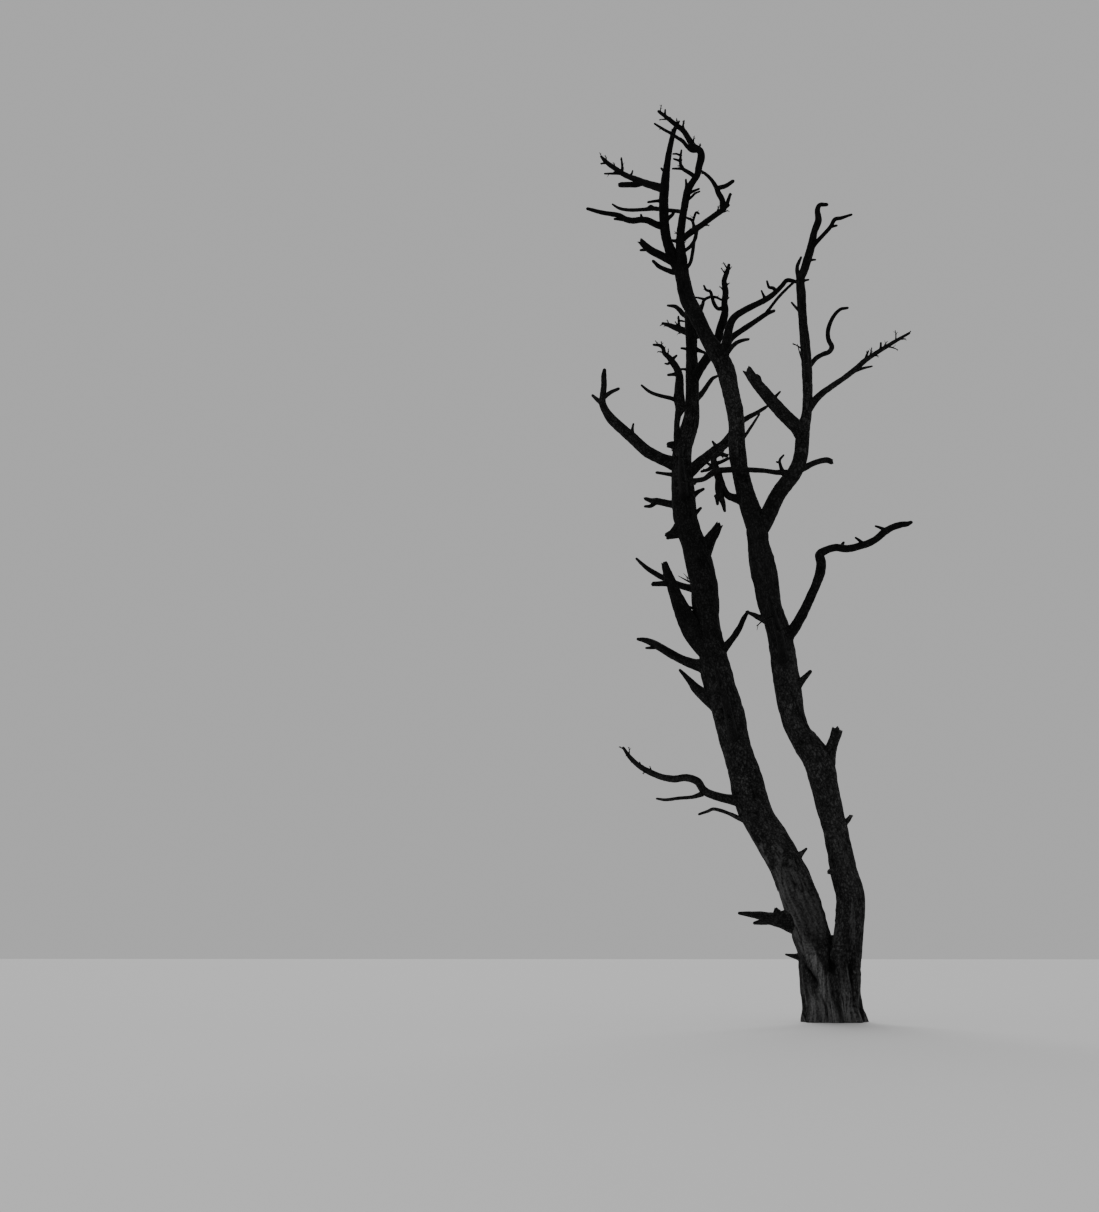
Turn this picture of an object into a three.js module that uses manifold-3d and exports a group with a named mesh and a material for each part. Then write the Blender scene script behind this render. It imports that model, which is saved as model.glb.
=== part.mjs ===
// A dead tree with two stems from one root: a flat cut at ground level, a flared foot, two long
// leaning stems that cross near the top, broken boughs, and masses of bare twigs at their ends.
// Millimetres, +Z up, +X to the right and +Y away from the front. The origin is in the flat cut.

import * as THREE from "three";
import { mergeVertices } from "three/addons/utils/BufferGeometryUtils.js";
import Module from "manifold-3d";

const wasm = await Module();
wasm.setup();

// Driving dimensions
const EYE_HEIGHT = 895; // height of the eye that the front outline is true from
const EYE_DISTANCE = 22000; // distance from that eye to the upright plane through the foot
const GAP = 0.3; // clearance between pieces that meet
const STEM_SIDES = 12;
const LEADER_SIDES = 9;
const BOUGH_SIDES = 6;
const STUB_SIDES = 5;
const THIN_SIDES = 4;
const THIN = 38; // half width below which a side piece has the fewer sides
const SLENDER = 24; // half width below which it is a twig
const TWIG_SIDES = 3;
const CURVE_TENSION = 0.5; // of the smooth curve through a limb's knots
const NEAR_UPRIGHT = 0.8; // the rise beyond which a limb's first ring is turned to +X instead of +Z

const GNARL = {
  depth: 0.035, // how far a limb's section is out of round, as a share of the radius
  climb: 0.004, // radians that the section's two-lobed wave turns in a millimetre of height
  faster: 1.7, // how much faster its three-lobed wave turns the other way
  start: 0.013, // radians that a millimetre of height at the limb's root adds to its start
};

const FLARE = {
  lobes: 7,
  centre: [15, 10],
  top: 780, // height where a lobe's back leaves the trunk
  knee: 300, // height where it is thickest
  depth: 90, // how far below the cut the lobes are carried before they are cut off
  reach: 400,
  backShare: 0.42, // how far out its top and its knee are, as shares of the reach
  kneeShare: 0.62,
  uneven: 0.14, // how much longer or shorter a lobe may be
  shallow: 0.85, // the flare from front to back, as a share of its width
  back: 100, // half widths at the top, the knee and the toe
  thick: 125,
  toe: 80,
  turn: 0.35, // radians from +X to the first lobe
};
const GROUND_BLOCK = { side: 4000, depth: 1000 }; // takes off all that lies below the cut

const TWIGS = {
  leanLow: 0.6, // radians between a twig and its stem
  leanSpread: 0.5,
  shortest: 0.5, // the shortest twig, as a share of the longest
  fade: 0.4, // how much shorter the twigs get towards the stem's tip
  lift: 0.2, // how far a twig turns upwards
  bend: 0.5, // how far a twig's outer half turns aside
  root: 0.55, // a twig's thickness at its root, as a share of its stem's there
  thinnest: 12, // the least half width at a root
  tip: 6,
  clear: 8, // air left between a twig and any other limb
  stride: 12, // how closely a twig is tested against the other limbs
  turn: 2.4, // radians round the stem from one twig to the next
  wander: 0.7, // how far that turn strays
  scatter: 0.8, // how far a twig strays along its stem, as a share of the space to the next
  bare: 0.04, // the share of the stem that is left bare at its root
};
const FAN = 0.25; // how far the twigs of the front and the back stand out to either side

// Ends of limbs, as shares of the radius along the limb. The first is the jagged rim of a broken end.
const BREAK = [0.9, -0.35, 0.45, -0.6, 0.7, -0.15, 0.2, -0.5, 0.6, -0.25, 0.35, -0.4];
const SUNK = -0.4; // the middle of a broken end
const POINT = 1.6; // length of a pointed tip

// Routes are lists of knots [across, up, behind, half width]. Across and up lie on the upright
// plane through the foot, and behind carries the knot along the line of sight.
function sight([across, up, behind, halfWidth]) {
  const stretch = 1 + behind / EYE_DISTANCE;
  return {
    point: new THREE.Vector3(across * stretch, behind, EYE_HEIGHT + (up - EYE_HEIGHT) * stretch),
    radius: halfWidth * stretch,
  };
}

// Rings along a smooth curve through the knots, each with its own frame carried on from the last.
// steps is the number of rings from one knot to the next.
function limbThrough(knots, sides, steps) {
  const curve = new THREE.CatmullRomCurve3(knots.map((k) => k.point), false, "catmullrom", CURVE_TENSION);
  const count = (knots.length - 1) * steps;
  const rings = [];
  let side = null;
  for (let i = 0; i <= count; i += 1) {
    const t = i / count;
    const k = Math.min(Math.floor(i / steps), knots.length - 2);
    const share = i / steps - k;
    const along = curve.getTangent(t);
    if (!side) {
      const upright = Math.abs(along.z) > NEAR_UPRIGHT;
      side = upright ? new THREE.Vector3(1, 0, 0) : new THREE.Vector3(0, 0, 1);
    }
    side = side.clone().addScaledVector(along, -side.dot(along)).normalize();
    rings.push({
      centre: curve.getPoint(t),
      along,
      side,
      cross: new THREE.Vector3().crossVectors(side, along),
      radius: THREE.MathUtils.lerp(knots[k].radius, knots[k + 1].radius, share),
    });
  }
  return { curve, rings, sides, steps, phase: knots[0].point.z * GNARL.start };
}

function limb(knots, sides = BOUGH_SIDES, steps = 1) {
  return limbThrough(knots.map(sight), sides, steps);
}

// How far out of round a limb is at a ring and an angle
function gnarl(form, ring, angle) {
  const place = form.rings[ring].centre.z * GNARL.climb;
  const two = Math.sin(2 * angle + place + form.phase);
  const three = Math.sin(3 * angle - GNARL.faster * place + 2 * form.phase);
  return 1 + GNARL.depth * (two + three);
}

// A turned rod of unit radius bent along the limb's rings, with a shaped end
function rodGeometry(form, { first = 0, last = form.rings.length - 1, extra = 0, end = "flat",
  trimStart = 0, trimEnd = 0 } = {}) {
  const rows = last - first + 1;
  const profile = [new THREE.Vector2(0, 0)];
  for (let row = 0; row < rows; row += 1) {
    profile.push(new THREE.Vector2(1, row));
  }
  profile.push(new THREE.Vector2(0, rows - 1));
  const shape = new THREE.LatheGeometry(profile, form.sides);
  const place = shape.getAttribute("position");
  const perColumn = profile.length;
  for (let v = 0; v < place.count; v += 1) {
    const column = Math.floor(v / perColumn) % form.sides;
    const step = v % perColumn;
    const row = THREE.MathUtils.clamp(step - 1, 0, rows - 1);
    const ring = form.rings[first + row];
    const angle = (column / form.sides) * 2 * Math.PI;
    const onAxis = step === 0 || step === perColumn - 1;
    const reach = onAxis ? 0 : ring.radius * gnarl(form, first + row, angle) + extra;
    let shift = 0;
    if (row === 0) {
      shift += trimStart;
    }
    if (row === rows - 1) {
      shift -= trimEnd;
      if (end === "point" && onAxis) {
        shift += POINT * ring.radius;
      }
      if (end === "broken") {
        shift += (onAxis ? SUNK : BREAK[column % BREAK.length]) * ring.radius;
      }
    }
    const spot = ring.centre.clone().addScaledVector(ring.along, shift);
    spot.addScaledVector(ring.side, reach * Math.sin(angle));
    spot.addScaledVector(ring.cross, reach * Math.cos(angle));
    place.setXYZ(v, spot.x, spot.y, spot.z);
  }
  return shape;
}

// Solids

function solidOf(geometry) {
  geometry.deleteAttribute("normal");
  geometry.deleteAttribute("uv");
  const merged = mergeVertices(geometry, 1e-3);
  const index = Array.from(merged.index.array);
  const kept = [];
  for (let i = 0; i < index.length; i += 3) {
    const [a, b, c] = index.slice(i, i + 3);
    if (a !== b && b !== c && c !== a) {
      kept.push(a, b, c);
    }
  }
  return new wasm.Manifold(new wasm.Mesh({
    numProp: 3,
    vertProperties: new Float32Array(merged.getAttribute("position").array),
    triVerts: new Uint32Array(kept),
  }));
}

function rod(form, options) {
  return solidOf(rodGeometry(form, options));
}

function joined(solids) {
  return solids.reduce((sum, solid) => sum.add(solid));
}

function clearOf(solid, carriers) {
  return carriers.reduce((left, carrier) => left.subtract(carrier), solid);
}

function largest(solid) {
  return solid.decompose().reduce((best, body) => (body.volume() > best.volume() ? body : best));
}

const tree = new THREE.Group();

function node(name, solid, material) {
  const mesh = largest(solid).getMesh();
  const geometry = new THREE.BufferGeometry();
  geometry.setAttribute("position", new THREE.BufferAttribute(mesh.vertProperties, 3));
  geometry.setIndex(new THREE.BufferAttribute(mesh.triVerts, 1));
  geometry.computeVertexNormals();
  const body = new THREE.Mesh(geometry, material());
  body.name = name;
  tree.add(body);
}

// Materials
const bark = () => new THREE.MeshStandardMaterial({ color: 0x3a3836, roughness: 0.92, metalness: 0 });
const weathered = () => new THREE.MeshStandardMaterial({ color: 0x8c8882, roughness: 0.88, metalness: 0 });
const twigBark = () => new THREE.MeshStandardMaterial({ color: 0x2b2927, roughness: 0.95, metalness: 0 });

// Every limb's length is kept as short straight stretches, which twigs are tested against
const taken = [];

function claim(form, owner, first = 0, last = form.rings.length - 1) {
  for (let i = first + 1; i <= last; i += 1) {
    const from = form.rings[i - 1];
    const to = form.rings[i];
    taken.push({ owner, from: from.centre, to: to.centre, radius: Math.max(from.radius, to.radius) });
  }
}

// The two stems, the limbs they divide into, and the two leaders of the top

const leftStem = limb([
  [-30, -150, 30, 270], [-120, 600, 40, 262], [-245, 1240, 70, 258], [-382, 1660, 110, 258],
  [-562, 2180, 170, 240], [-756, 2510, 200, 236], [-924, 2820, 225, 220], [-1060, 3230, 260, 222],
  [-1205, 3820, 310, 216], [-1335, 4420, 370, 208], [-1510, 5120, 430, 208], [-1600, 5790, 480, 183],
  [-1645, 6400, 520, 186], [-1740, 6860, 555, 186], [-1870, 7260, 585, 177], [-1915, 7700, 610, 166],
  [-1935, 8050, 635, 152], [-1930, 8380, 655, 141], [-1870, 8660, 675, 129], [-1780, 8980, 690, 112],
  [-1748, 9350, 705, 94], [-1745, 9800, 720, 84], [-1738, 10280, 740, 80], [-1745, 10690, 760, 76],
], STEM_SIDES);

const rightStem = limb([
  [35, -150, -20, 265], [140, 600, -30, 250], [262, 1130, -50, 212], [318, 1650, -80, 183],
  [250, 2070, -110, 177], [175, 2510, -140, 171], [90, 2920, -165, 170], [30, 3270, -185, 179],
  [-45, 3600, -205, 196], [-185, 3870, -220, 192], [-320, 4100, -235, 168], [-410, 4420, -250, 172],
  [-450, 4800, -268, 177], [-490, 5200, -290, 179], [-560, 5600, -305, 176], [-645, 5920, -318, 165],
  [-710, 6300, -327, 176], [-760, 6650, -333, 174], [-800, 6960, -336, 154], [-825, 7250, -336, 161],
  [-870, 7430, -334, 127],
], STEM_SIDES);

const middleLimb = limb([
  [-815, 7120, -336, 134], [-900, 7480, -331, 150], [-985, 7790, -325, 125], [-1050, 8110, -320, 118],
  [-1075, 8440, -310, 122], [-1085, 8920, -290, 122], [-1125, 9250, -270, 122], [-1185, 9590, -245, 127],
  [-1250, 9830, -222, 131], [-1350, 10060, -200, 131], [-1478, 10290, -178, 110], [-1624, 10620, -150, 114],
  [-1775, 10970, -125, 112], [-1850, 11320, -100, 102], [-1885, 11560, -85, 100],
], STEM_SIDES);

const rightLimb = limb([
  [-800, 7120, -336, 125], [-635, 7400, -362, 120], [-508, 7650, -390, 118], [-368, 7850, -410, 116],
  [-248, 8000, -425, 110], [-146, 8220, -445, 98], [-98, 8450, -468, 102], [-66, 8720, -495, 96],
  [-12, 8950, -515, 76], [18, 9300, -545, 72], [22, 9700, -578, 76], [8, 10100, -610, 68],
  [-8, 10500, -645, 64], [-20, 10950, -690, 66], [-22, 11180, -712, 60], [45, 11340, -728, 62],
  [150, 11660, -756, 56], [222, 11960, -782, 46], [292, 12150, -800, 52], [288, 12330, -812, 38],
  [330, 12420, -818, 32], [425, 12415, -822, 23],
], LEADER_SIDES);

const leftLeader = limb([
  [-1875, 11380, -88, 68], [-1985, 11690, -72, 84], [-2090, 12000, -55, 72], [-2138, 12350, -35, 70],
  [-2138, 12700, -15, 68], [-2115, 12950, 0, 64], [-2085, 13250, 18, 50], [-2045, 13500, 32, 45],
  [-1995, 13750, 46, 41], [-1955, 13920, 56, 36], [-1900, 14050, 64, 24],
], LEADER_SIDES);

const rightLeader = limb([
  [-1870, 11380, -95, 78], [-1868, 11680, -130, 80], [-1878, 12050, -190, 64], [-1845, 12350, -240, 60],
  [-1800, 12610, -285, 58], [-1745, 12870, -330, 56], [-1655, 13020, -355, 50], [-1585, 13130, -370, 48],
  [-1550, 13290, -390, 54], [-1518, 13430, -405, 58], [-1532, 13550, -420, 53], [-1640, 13650, -440, 48],
  [-1720, 13810, -465, 43], [-1790, 13940, -490, 40], [-1890, 14042, -510, 38], [-2030, 14180, -540, 32],
  [-2180, 14325, -570, 22],
], LEADER_SIDES);
const RIGHT_LEADER_SPLIT = 9;

const stems = { leftStem, rightStem, middleLimb, rightLimb, leftLeader, rightLeader };
for (const [owner, form] of Object.entries(stems)) {
  claim(form, owner, 0, form === rightLeader ? RIGHT_LEADER_SPLIT : undefined);
}

// A limb swollen by the gap, which is cut from whatever meets the limb
function sheath(form, end = "flat") {
  return rod(form, { extra: GAP, trimStart: -GAP, trimEnd: -GAP, end });
}

const sheaths = {};
for (const [name, form] of Object.entries(stems)) {
  sheaths[name] = sheath(form, form === leftStem ? "broken" : "flat");
}

// Short side pieces fused to the limb that carries them
function stub(knots, end = "point", sides = knots[0][3] < THIN ? THIN_SIDES : STUB_SIDES) {
  const form = limb(knots, sides);
  claim(form, "stub");
  return rod(form, { end });
}

// The stretch of a stem between two knots, with half the gap trimmed off each end that meets another
function stretch(form, firstKnot, lastKnot, { open = false, end = "flat" } = {}) {
  return rod(form, {
    first: firstKnot * form.steps,
    last: lastKnot * form.steps,
    trimStart: firstKnot ? GAP / 2 : 0,
    trimEnd: open ? 0 : GAP / 2,
    end,
  });
}

// The foot: the bases of both stems, and the root flare's lobes, cut flat at the ground
function foot() {
  const lobes = [];
  for (let i = 0; i < FLARE.lobes; i += 1) {
    const angle = FLARE.turn + (i / FLARE.lobes) * 2 * Math.PI;
    const reach = FLARE.reach * (1 + FLARE.uneven * Math.sin(3 * i + 1));
    const at = (share, height) => new THREE.Vector3(
      FLARE.centre[0] + share * reach * Math.cos(angle),
      FLARE.centre[1] + share * reach * FLARE.shallow * Math.sin(angle),
      height,
    );
    lobes.push(rod(limbThrough([
      { point: at(FLARE.backShare, FLARE.top), radius: FLARE.back },
      { point: at(FLARE.kneeShare, FLARE.knee), radius: FLARE.thick },
      { point: at(1, -FLARE.depth), radius: FLARE.toe },
    ], BOUGH_SIDES, 2)));
  }
  const { side, depth } = GROUND_BLOCK;
  const below = new THREE.BoxGeometry(side, side, depth).translate(0, 0, -depth / 2);
  return joined([
    stretch(leftStem, 0, 3),
    stretch(rightStem, 0, 3),
    stub([[-220, 790, 20, 78], [-400, 870, 0, 56], [-500, 890, -10, 40], [-600, 912, -20, 20]]),
    ...lobes,
  ]).subtract(solidOf(below));
}

node("trunk_foot", foot(), weathered);

node("left_stem_low", joined([
  stretch(leftStem, 3, 9),
  stub([[-930, 2740, 225, 42], [-1165, 2815, 190, 34], [-1350, 2905, 130, 26], [-1560, 2975, 60, 23],
    [-1665, 2942, 10, 21], [-1780, 2905, -30, 16]]),
  stub([[-420, 2260, 150, 48], [-330, 2330, 130, 32], [-275, 2380, 118, 16]]),
]), bark);

node("left_stem_middle", stretch(leftStem, 9, 12), bark);

node("left_stem_top", joined([
  stretch(leftStem, 12, 23, { open: true, end: "broken" }),
  stub([[-1720, 6700, 540, 127], [-1610, 6900, 520, 108], [-1530, 7040, 490, 86], [-1450, 7160, 460, 70],
    [-1385, 7265, 430, 52]], "broken", BOUGH_SIDES),
  stub([[-1900, 7330, 590, 78], [-2060, 7180, 575, 78], [-2180, 7130, 560, 54]], "broken"),
  stub([[-1790, 7730, 600, 40], [-1700, 7800, 580, 34], [-1620, 7842, 560, 21]]),
  stub([[-1790, 7460, 590, 38], [-1730, 7480, 580, 32], [-1668, 7535, 560, 21]]),
  stub([[-1950, 8090, 630, 34], [-2120, 8112, 600, 30], [-2310, 8150, 560, 21]]),
  stub([[-1745, 9800, 715, 24], [-1840, 9815, 690, 22], [-1900, 9822, 660, 17]]),
  stub([[-1740, 10130, 730, 24], [-1830, 10155, 700, 22], [-1890, 10170, 680, 17]]),
  stub([[-1740, 10640, 757, 48], [-1790, 10692, 790, 40], [-1865, 10745, 850, 37], [-1925, 10830, 905, 34],
    [-1990, 10885, 960, 30], [-2095, 10908, 1030, 16]]),
  stub([[-1735, 10385, 745, 36], [-1660, 10352, 745, 31], [-1590, 10335, 745, 23]]),
  stub([[-1740, 10180, 736, 36], [-1660, 10130, 736, 32], [-1600, 10100, 736, 28],
    [-1548, 10075, 736, 20]]),
  stub([[-1735, 10440, 748, 40], [-1650, 10462, 748, 40], [-1600, 10500, 748, 34]]),
]), bark);

node("right_stem_low", joined([
  stretch(rightStem, 3, 10),
  stub([[120, 2080, -110, 48], [55, 2060, -120, 38], [30, 2062, -125, 26]], "broken"),
  stub([[200, 2680, -150, 52], [325, 2775, -180, 36], [382, 2845, -195, 24]], "broken"),
  stub([[10, 3420, -195, 104], [95, 3670, -215, 88], [160, 3860, -235, 71], [212, 4000, -250, 70],
    [236, 4085, -260, 74]], "broken", BOUGH_SIDES),
]), bark);

node("right_stem_top", joined([
  stretch(rightStem, 10, 19),
  stub([[-440, 4640, -265, 60], [-310, 4755, -300, 54], [-215, 4855, -330, 42], [-122, 4948, -355, 26]]),
  stub([[-640, 5740, -310, 54], [-815, 5795, -320, 43], [-910, 5850, -330, 32], [-1000, 5890, -340, 19]]),
]), bark);

// The right stem as far as the node that the two limbs rise from, swollen by the gap
const rightStemEnd = rod(rightStem, { extra: GAP, last: 19 });

node("middle_limb_low", clearOf(joined([
  stretch(middleLimb, 0, 8),
  stub([[-1080, 8540, -305, 28], [-970, 8640, -260, 22], [-850, 8812, -200, 21], [-730, 8992, -140, 15]]),
]), [rightStemEnd]), bark);

const shortClusterBough = limb([
  [-1262, 9935, -220, 42], [-1150, 10090, -380, 36], [-1050, 10190, -490, 32], [-960, 10228, -560, 28],
  [-860, 10242, -640, 19],
], STUB_SIDES);
claim(shortClusterBough, "middle_limb_top");
node("middle_limb_top", joined([
  stretch(middleLimb, 8, 14, { open: true }),
  rod(shortClusterBough, { end: "point" }),
]), bark);

node("right_limb_low", clearOf(stretch(rightLimb, 0, 10), [rightStemEnd, sheaths.middleLimb]), bark);

node("right_limb_top", joined([
  stretch(rightLimb, 10, 21, { open: true, end: "point" }),
  stub([[-30, 11160, -710, 38], [-62, 11290, -700, 30], [-60, 11400, -690, 27], [-30, 11480, -685, 24],
    [0, 11545, -680, 16]]),
  stub([[-30, 10640, -655, 26], [-90, 10692, -670, 21], [-165, 10795, -690, 14]]),
  stub([[80, 11470, -735, 28], [150, 11492, -750, 22], [212, 11492, -765, 15]]),
  stub([[-10, 11140, -700, 26], [50, 11156, -720, 20], [95, 11162, -730, 14]]),
]), bark);

node("left_leader", joined([
  rod(leftLeader, { end: "point" }),
  stub([[-1950, 11480, -75, 46], [-2010, 11475, -60, 40], [-2120, 11525, -30, 34], [-2230, 11592, 0, 32],
    [-2312, 11680, 20, 24]]),
  stub([[-2110, 12360, -50, 34], [-2060, 12420, -90, 30], [-2000, 12470, -120, 26],
    [-1965, 12535, -140, 18]]),
  stub([[-2138, 12730, -15, 28], [-2260, 12735, -40, 24], [-2375, 12728, -60, 18]]),
  stub([[-2085, 13240, 18, 24], [-2130, 13265, 10, 20], [-2160, 13300, 0, 14]]),
]).subtract(sheaths.middleLimb), bark);

node("right_leader", joined([
  stretch(rightLeader, 0, RIGHT_LEADER_SPLIT),
  stub([[-1878, 12000, -185, 34], [-1960, 12008, -175, 28], [-2010, 12022, -170, 20]]),
  stub([[-1770, 12780, -320, 30], [-1765, 12950, -350, 22], [-1770, 13055, -370, 16]]),
  stub([[-1745, 12820, -325, 30], [-1660, 12850, -380, 23], [-1572, 12880, -430, 16]]),
  stub([[-1785, 12690, -305, 24], [-1700, 12740, -350, 21], [-1630, 12805, -390, 19],
    [-1562, 12832, -420, 14]]),
]).subtract(sheaths.middleLimb).subtract(sheaths.leftLeader), bark);

// Boughs. Each is cut clear of the limbs that carry it or pass it.
function bough(name, form, carriers, { end = "point", stubs = [] } = {}) {
  claim(form, name);
  node(name, clearOf(joined([rod(form, { end }), ...stubs]), carriers), bark);
}

bough("spike_bough", limb([
  [-300, 1350, 90, 127], [-560, 1382, 40, 120], [-780, 1408, -20, 84], [-940, 1452, -60, 52],
  [-1110, 1474, -95, 34], [-1240, 1488, -120, 16],
]), [sheaths.leftStem], {
  stubs: [
    stub([[-800, 1395, -20, 66], [-930, 1366, -10, 42], [-1025, 1350, 0, 19]]),
    stub([[-715, 1430, 0, 48], [-706, 1530, 0, 40]], "broken"),
  ],
});

const lowLeftBough = limb([
  [-1010, 3030, 242, 76], [-1230, 3085, 180, 70], [-1420, 3132, 110, 66], [-1580, 3180, 50, 60],
  [-1710, 3250, 0, 56], [-1800, 3380, -45, 56], [-1960, 3440, -110, 52], [-2140, 3425, -190, 48],
  [-2330, 3460, -290, 45], [-2500, 3535, -390, 43], [-2660, 3630, -480, 37], [-2790, 3755, -555, 30],
  [-2885, 3895, -610, 17],
]);
const LOW_LEFT_SPLIT = 8;
claim(lowLeftBough, "low_left_bough", 0, LOW_LEFT_SPLIT);
node("low_left_bough", joined([
  stretch(lowLeftBough, 0, LOW_LEFT_SPLIT),
  stub([[-1730, 3200, 0, 38], [-1880, 3155, 60, 26], [-2080, 3142, 150, 23], [-2270, 3122, 240, 22],
    [-2395, 3140, 300, 15]]),
]).subtract(sheaths.leftStem), bark);

bough("left_spur", limb([
  [-1390, 4440, 380, 104], [-1630, 4610, 430, 92], [-1785, 4755, 480, 70], [-1890, 4890, 520, 44],
  [-2020, 5040, 560, 16],
]), [sheaths.leftStem]);

bough("second_left_bough", limb([
  [-1520, 5040, 420, 92], [-1790, 5118, 520, 74], [-2040, 5228, 640, 63], [-2300, 5395, 790, 58],
  [-2440, 5480, 880, 54], [-2545, 5522, 950, 38], [-2640, 5540, 1010, 20],
]), [sheaths.leftStem], {
  stubs: [stub([[-2380, 5420, 840, 34], [-2450, 5402, 830, 24], [-2515, 5400, 820, 16]])],
});

bough("left_spire", limb([
  [-1590, 5290, 440, 118], [-1770, 5540, 395, 132], [-1905, 5790, 340, 127], [-2000, 6010, 300, 108],
  [-2070, 6210, 272, 90], [-2130, 6400, 250, 76], [-2190, 6570, 232, 60], [-2225, 6700, 220, 42],
]), [sheaths.leftStem], {
  end: "broken",
  stubs: [
    stub([[-2130, 6385, 250, 46], [-2270, 6384, 225, 42], [-2410, 6386, 200, 34]], "broken"),
    stub([[-1950, 5960, 320, 48], [-1870, 5990, 370, 34], [-1830, 5990, 400, 18]]),
  ],
});

bough("crossing_bough", limb([
  [-1640, 6250, 515, 56], [-1850, 6296, 560, 52], [-2010, 6352, 620, 48], [-2160, 6432, 700, 45],
  [-2310, 6512, 770, 40], [-2460, 6612, 840, 34], [-2560, 6700, 890, 26], [-2648, 6790, 930, 16],
]), [sheaths.leftStem]);

bough("third_left_bough", limb([
  [-1910, 7590, 600, 58], [-2100, 7628, 680, 52], [-2220, 7662, 760, 50], [-2330, 7690, 840, 52],
  [-2410, 7702, 900, 40], [-2500, 7742, 960, 26],
]), [sheaths.leftStem], {
  end: "broken",
  stubs: [stub([[-2340, 7680, 845, 38], [-2420, 7622, 830, 30], [-2500, 7618, 800, 18]])],
});

// The largest bough on the left, in two pieces that meet where it turns upwards
const bigLeftBough = limb([
  [-1940, 8240, 648, 100], [-2100, 8300, 560, 96], [-2270, 8385, 440, 84], [-2450, 8490, 310, 84],
  [-2610, 8650, 180, 81], [-2760, 8810, 60, 81], [-2900, 8950, -60, 76], [-3030, 9090, -170, 71],
  [-3120, 9240, -260, 58], [-3160, 9360, -320, 54], [-3150, 9480, -365, 46], [-3132, 9640, -420, 42],
  [-3132, 9780, -460, 40], [-3122, 9880, -490, 26],
]);
claim(bigLeftBough, "big_left_bough");
node("big_left_bough_inner", joined([
  stretch(bigLeftBough, 0, 7),
  stub([[-2690, 8740, 120, 28], [-2690, 8880, 100, 22], [-2675, 8960, 90, 14]]),
]).subtract(sheaths.leftStem), bark);
node("big_left_bough_outer", joined([
  stretch(bigLeftBough, 7, 13, { open: true, end: "point" }),
  stub([[-3150, 9330, -310, 42], [-3230, 9402, -280, 35], [-3305, 9475, -250, 21]]),
  stub([[-3150, 9430, -350, 40], [-3030, 9512, -430, 32], [-2912, 9562, -500, 24]]),
]), bark);

const innerLeftBough = limb([
  [-1930, 8440, 645, 70], [-1985, 8640, 600, 54], [-1998, 8850, 560, 38], [-1978, 9040, 530, 42],
  [-1940, 9180, 515, 74], [-1957, 9350, 490, 82], [-1948, 9530, 450, 74], [-1940, 9700, 390, 58],
  [-1975, 9830, 320, 54], [-2035, 9940, 240, 50], [-2095, 10030, 170, 40], [-2168, 10110, 100, 33],
  [-2186, 10190, 50, 29], [-2240, 10245, 0, 24], [-2330, 10262, -60, 16],
]);
const INNER_LEFT_SPLIT = 9;
claim(innerLeftBough, "inner_left_bough", 0, INNER_LEFT_SPLIT);
node("inner_left_bough", joined([
  stretch(innerLeftBough, 0, INNER_LEFT_SPLIT),
  stub([[-1960, 9300, 490, 36], [-2080, 9352, 380, 30], [-2250, 9408, 220, 28], [-2350, 9448, 130, 26],
    [-2440, 9505, 40, 24], [-2530, 9592, -40, 16]]),
  stub([[-1960, 9740, 375, 32], [-2030, 9745, 340, 26], [-2105, 9742, 310, 19]]),
  stub([[-1970, 8560, 620, 66], [-2080, 8585, 590, 54], [-2142, 8592, 570, 38]], "broken"),
]).subtract(sheaths.leftStem), bark);

bough("short_right_bough", limb([
  [-1748, 9260, 702, 48], [-1650, 9345, 790, 42], [-1570, 9435, 900, 38], [-1480, 9565, 1060, 34],
  [-1425, 9632, 1150, 30], [-1365, 9662, 1230, 19],
]), [sheaths.leftStem]);

// Two boughs of the left stem that pass behind the middle limb
bough("lower_bridge", limb([
  [-1935, 8060, 640, 94], [-1800, 8148, 580, 82], [-1600, 8315, 470, 74], [-1410, 8455, 360, 70],
  [-1260, 8565, 270, 68], [-1160, 8690, 205, 62], [-1070, 8830, 150, 48], [-960, 8925, 95, 38],
  [-790, 9010, 20, 30], [-640, 9095, -60, 23],
]), [sheaths.leftStem], {
  stubs: [
    stub([[-1400, 8470, 360, 38], [-1415, 8540, 340, 28], [-1445, 8592, 320, 16]]),
    stub([[-660, 9080, -40, 22], [-600, 9120, -80, 18], [-520, 9130, -130, 13]]),
  ],
});

const upperBridge = limb([
  [-1746, 9470, 708, 72], [-1690, 9680, 660, 72], [-1600, 9840, 590, 70], [-1500, 9985, 510, 68],
  [-1400, 10120, 430, 66], [-1330, 10280, 370, 63], [-1290, 10440, 320, 60], [-1240, 10580, 285, 60],
  [-1207, 10730, 255, 54], [-1212, 10880, 232, 48], [-1188, 11060, 210, 46], [-1202, 11250, 190, 38],
  [-1152, 11410, 175, 32], [-1125, 11510, 165, 20],
]);
const UPPER_BRIDGE_SPLIT = 8;
claim(upperBridge, "upper_bridge", 0, UPPER_BRIDGE_SPLIT);
node("upper_bridge", stretch(upperBridge, 0, UPPER_BRIDGE_SPLIT).subtract(sheaths.leftStem), bark);

bough("link_bough", limb([
  [-1560, 5200, 435, 66], [-1365, 5355, 400, 58], [-1245, 5485, 350, 46], [-1132, 5645, 290, 41],
  [-1062, 5785, 240, 34], [-998, 5888, 200, 20],
]), [sheaths.leftStem]);

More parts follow.
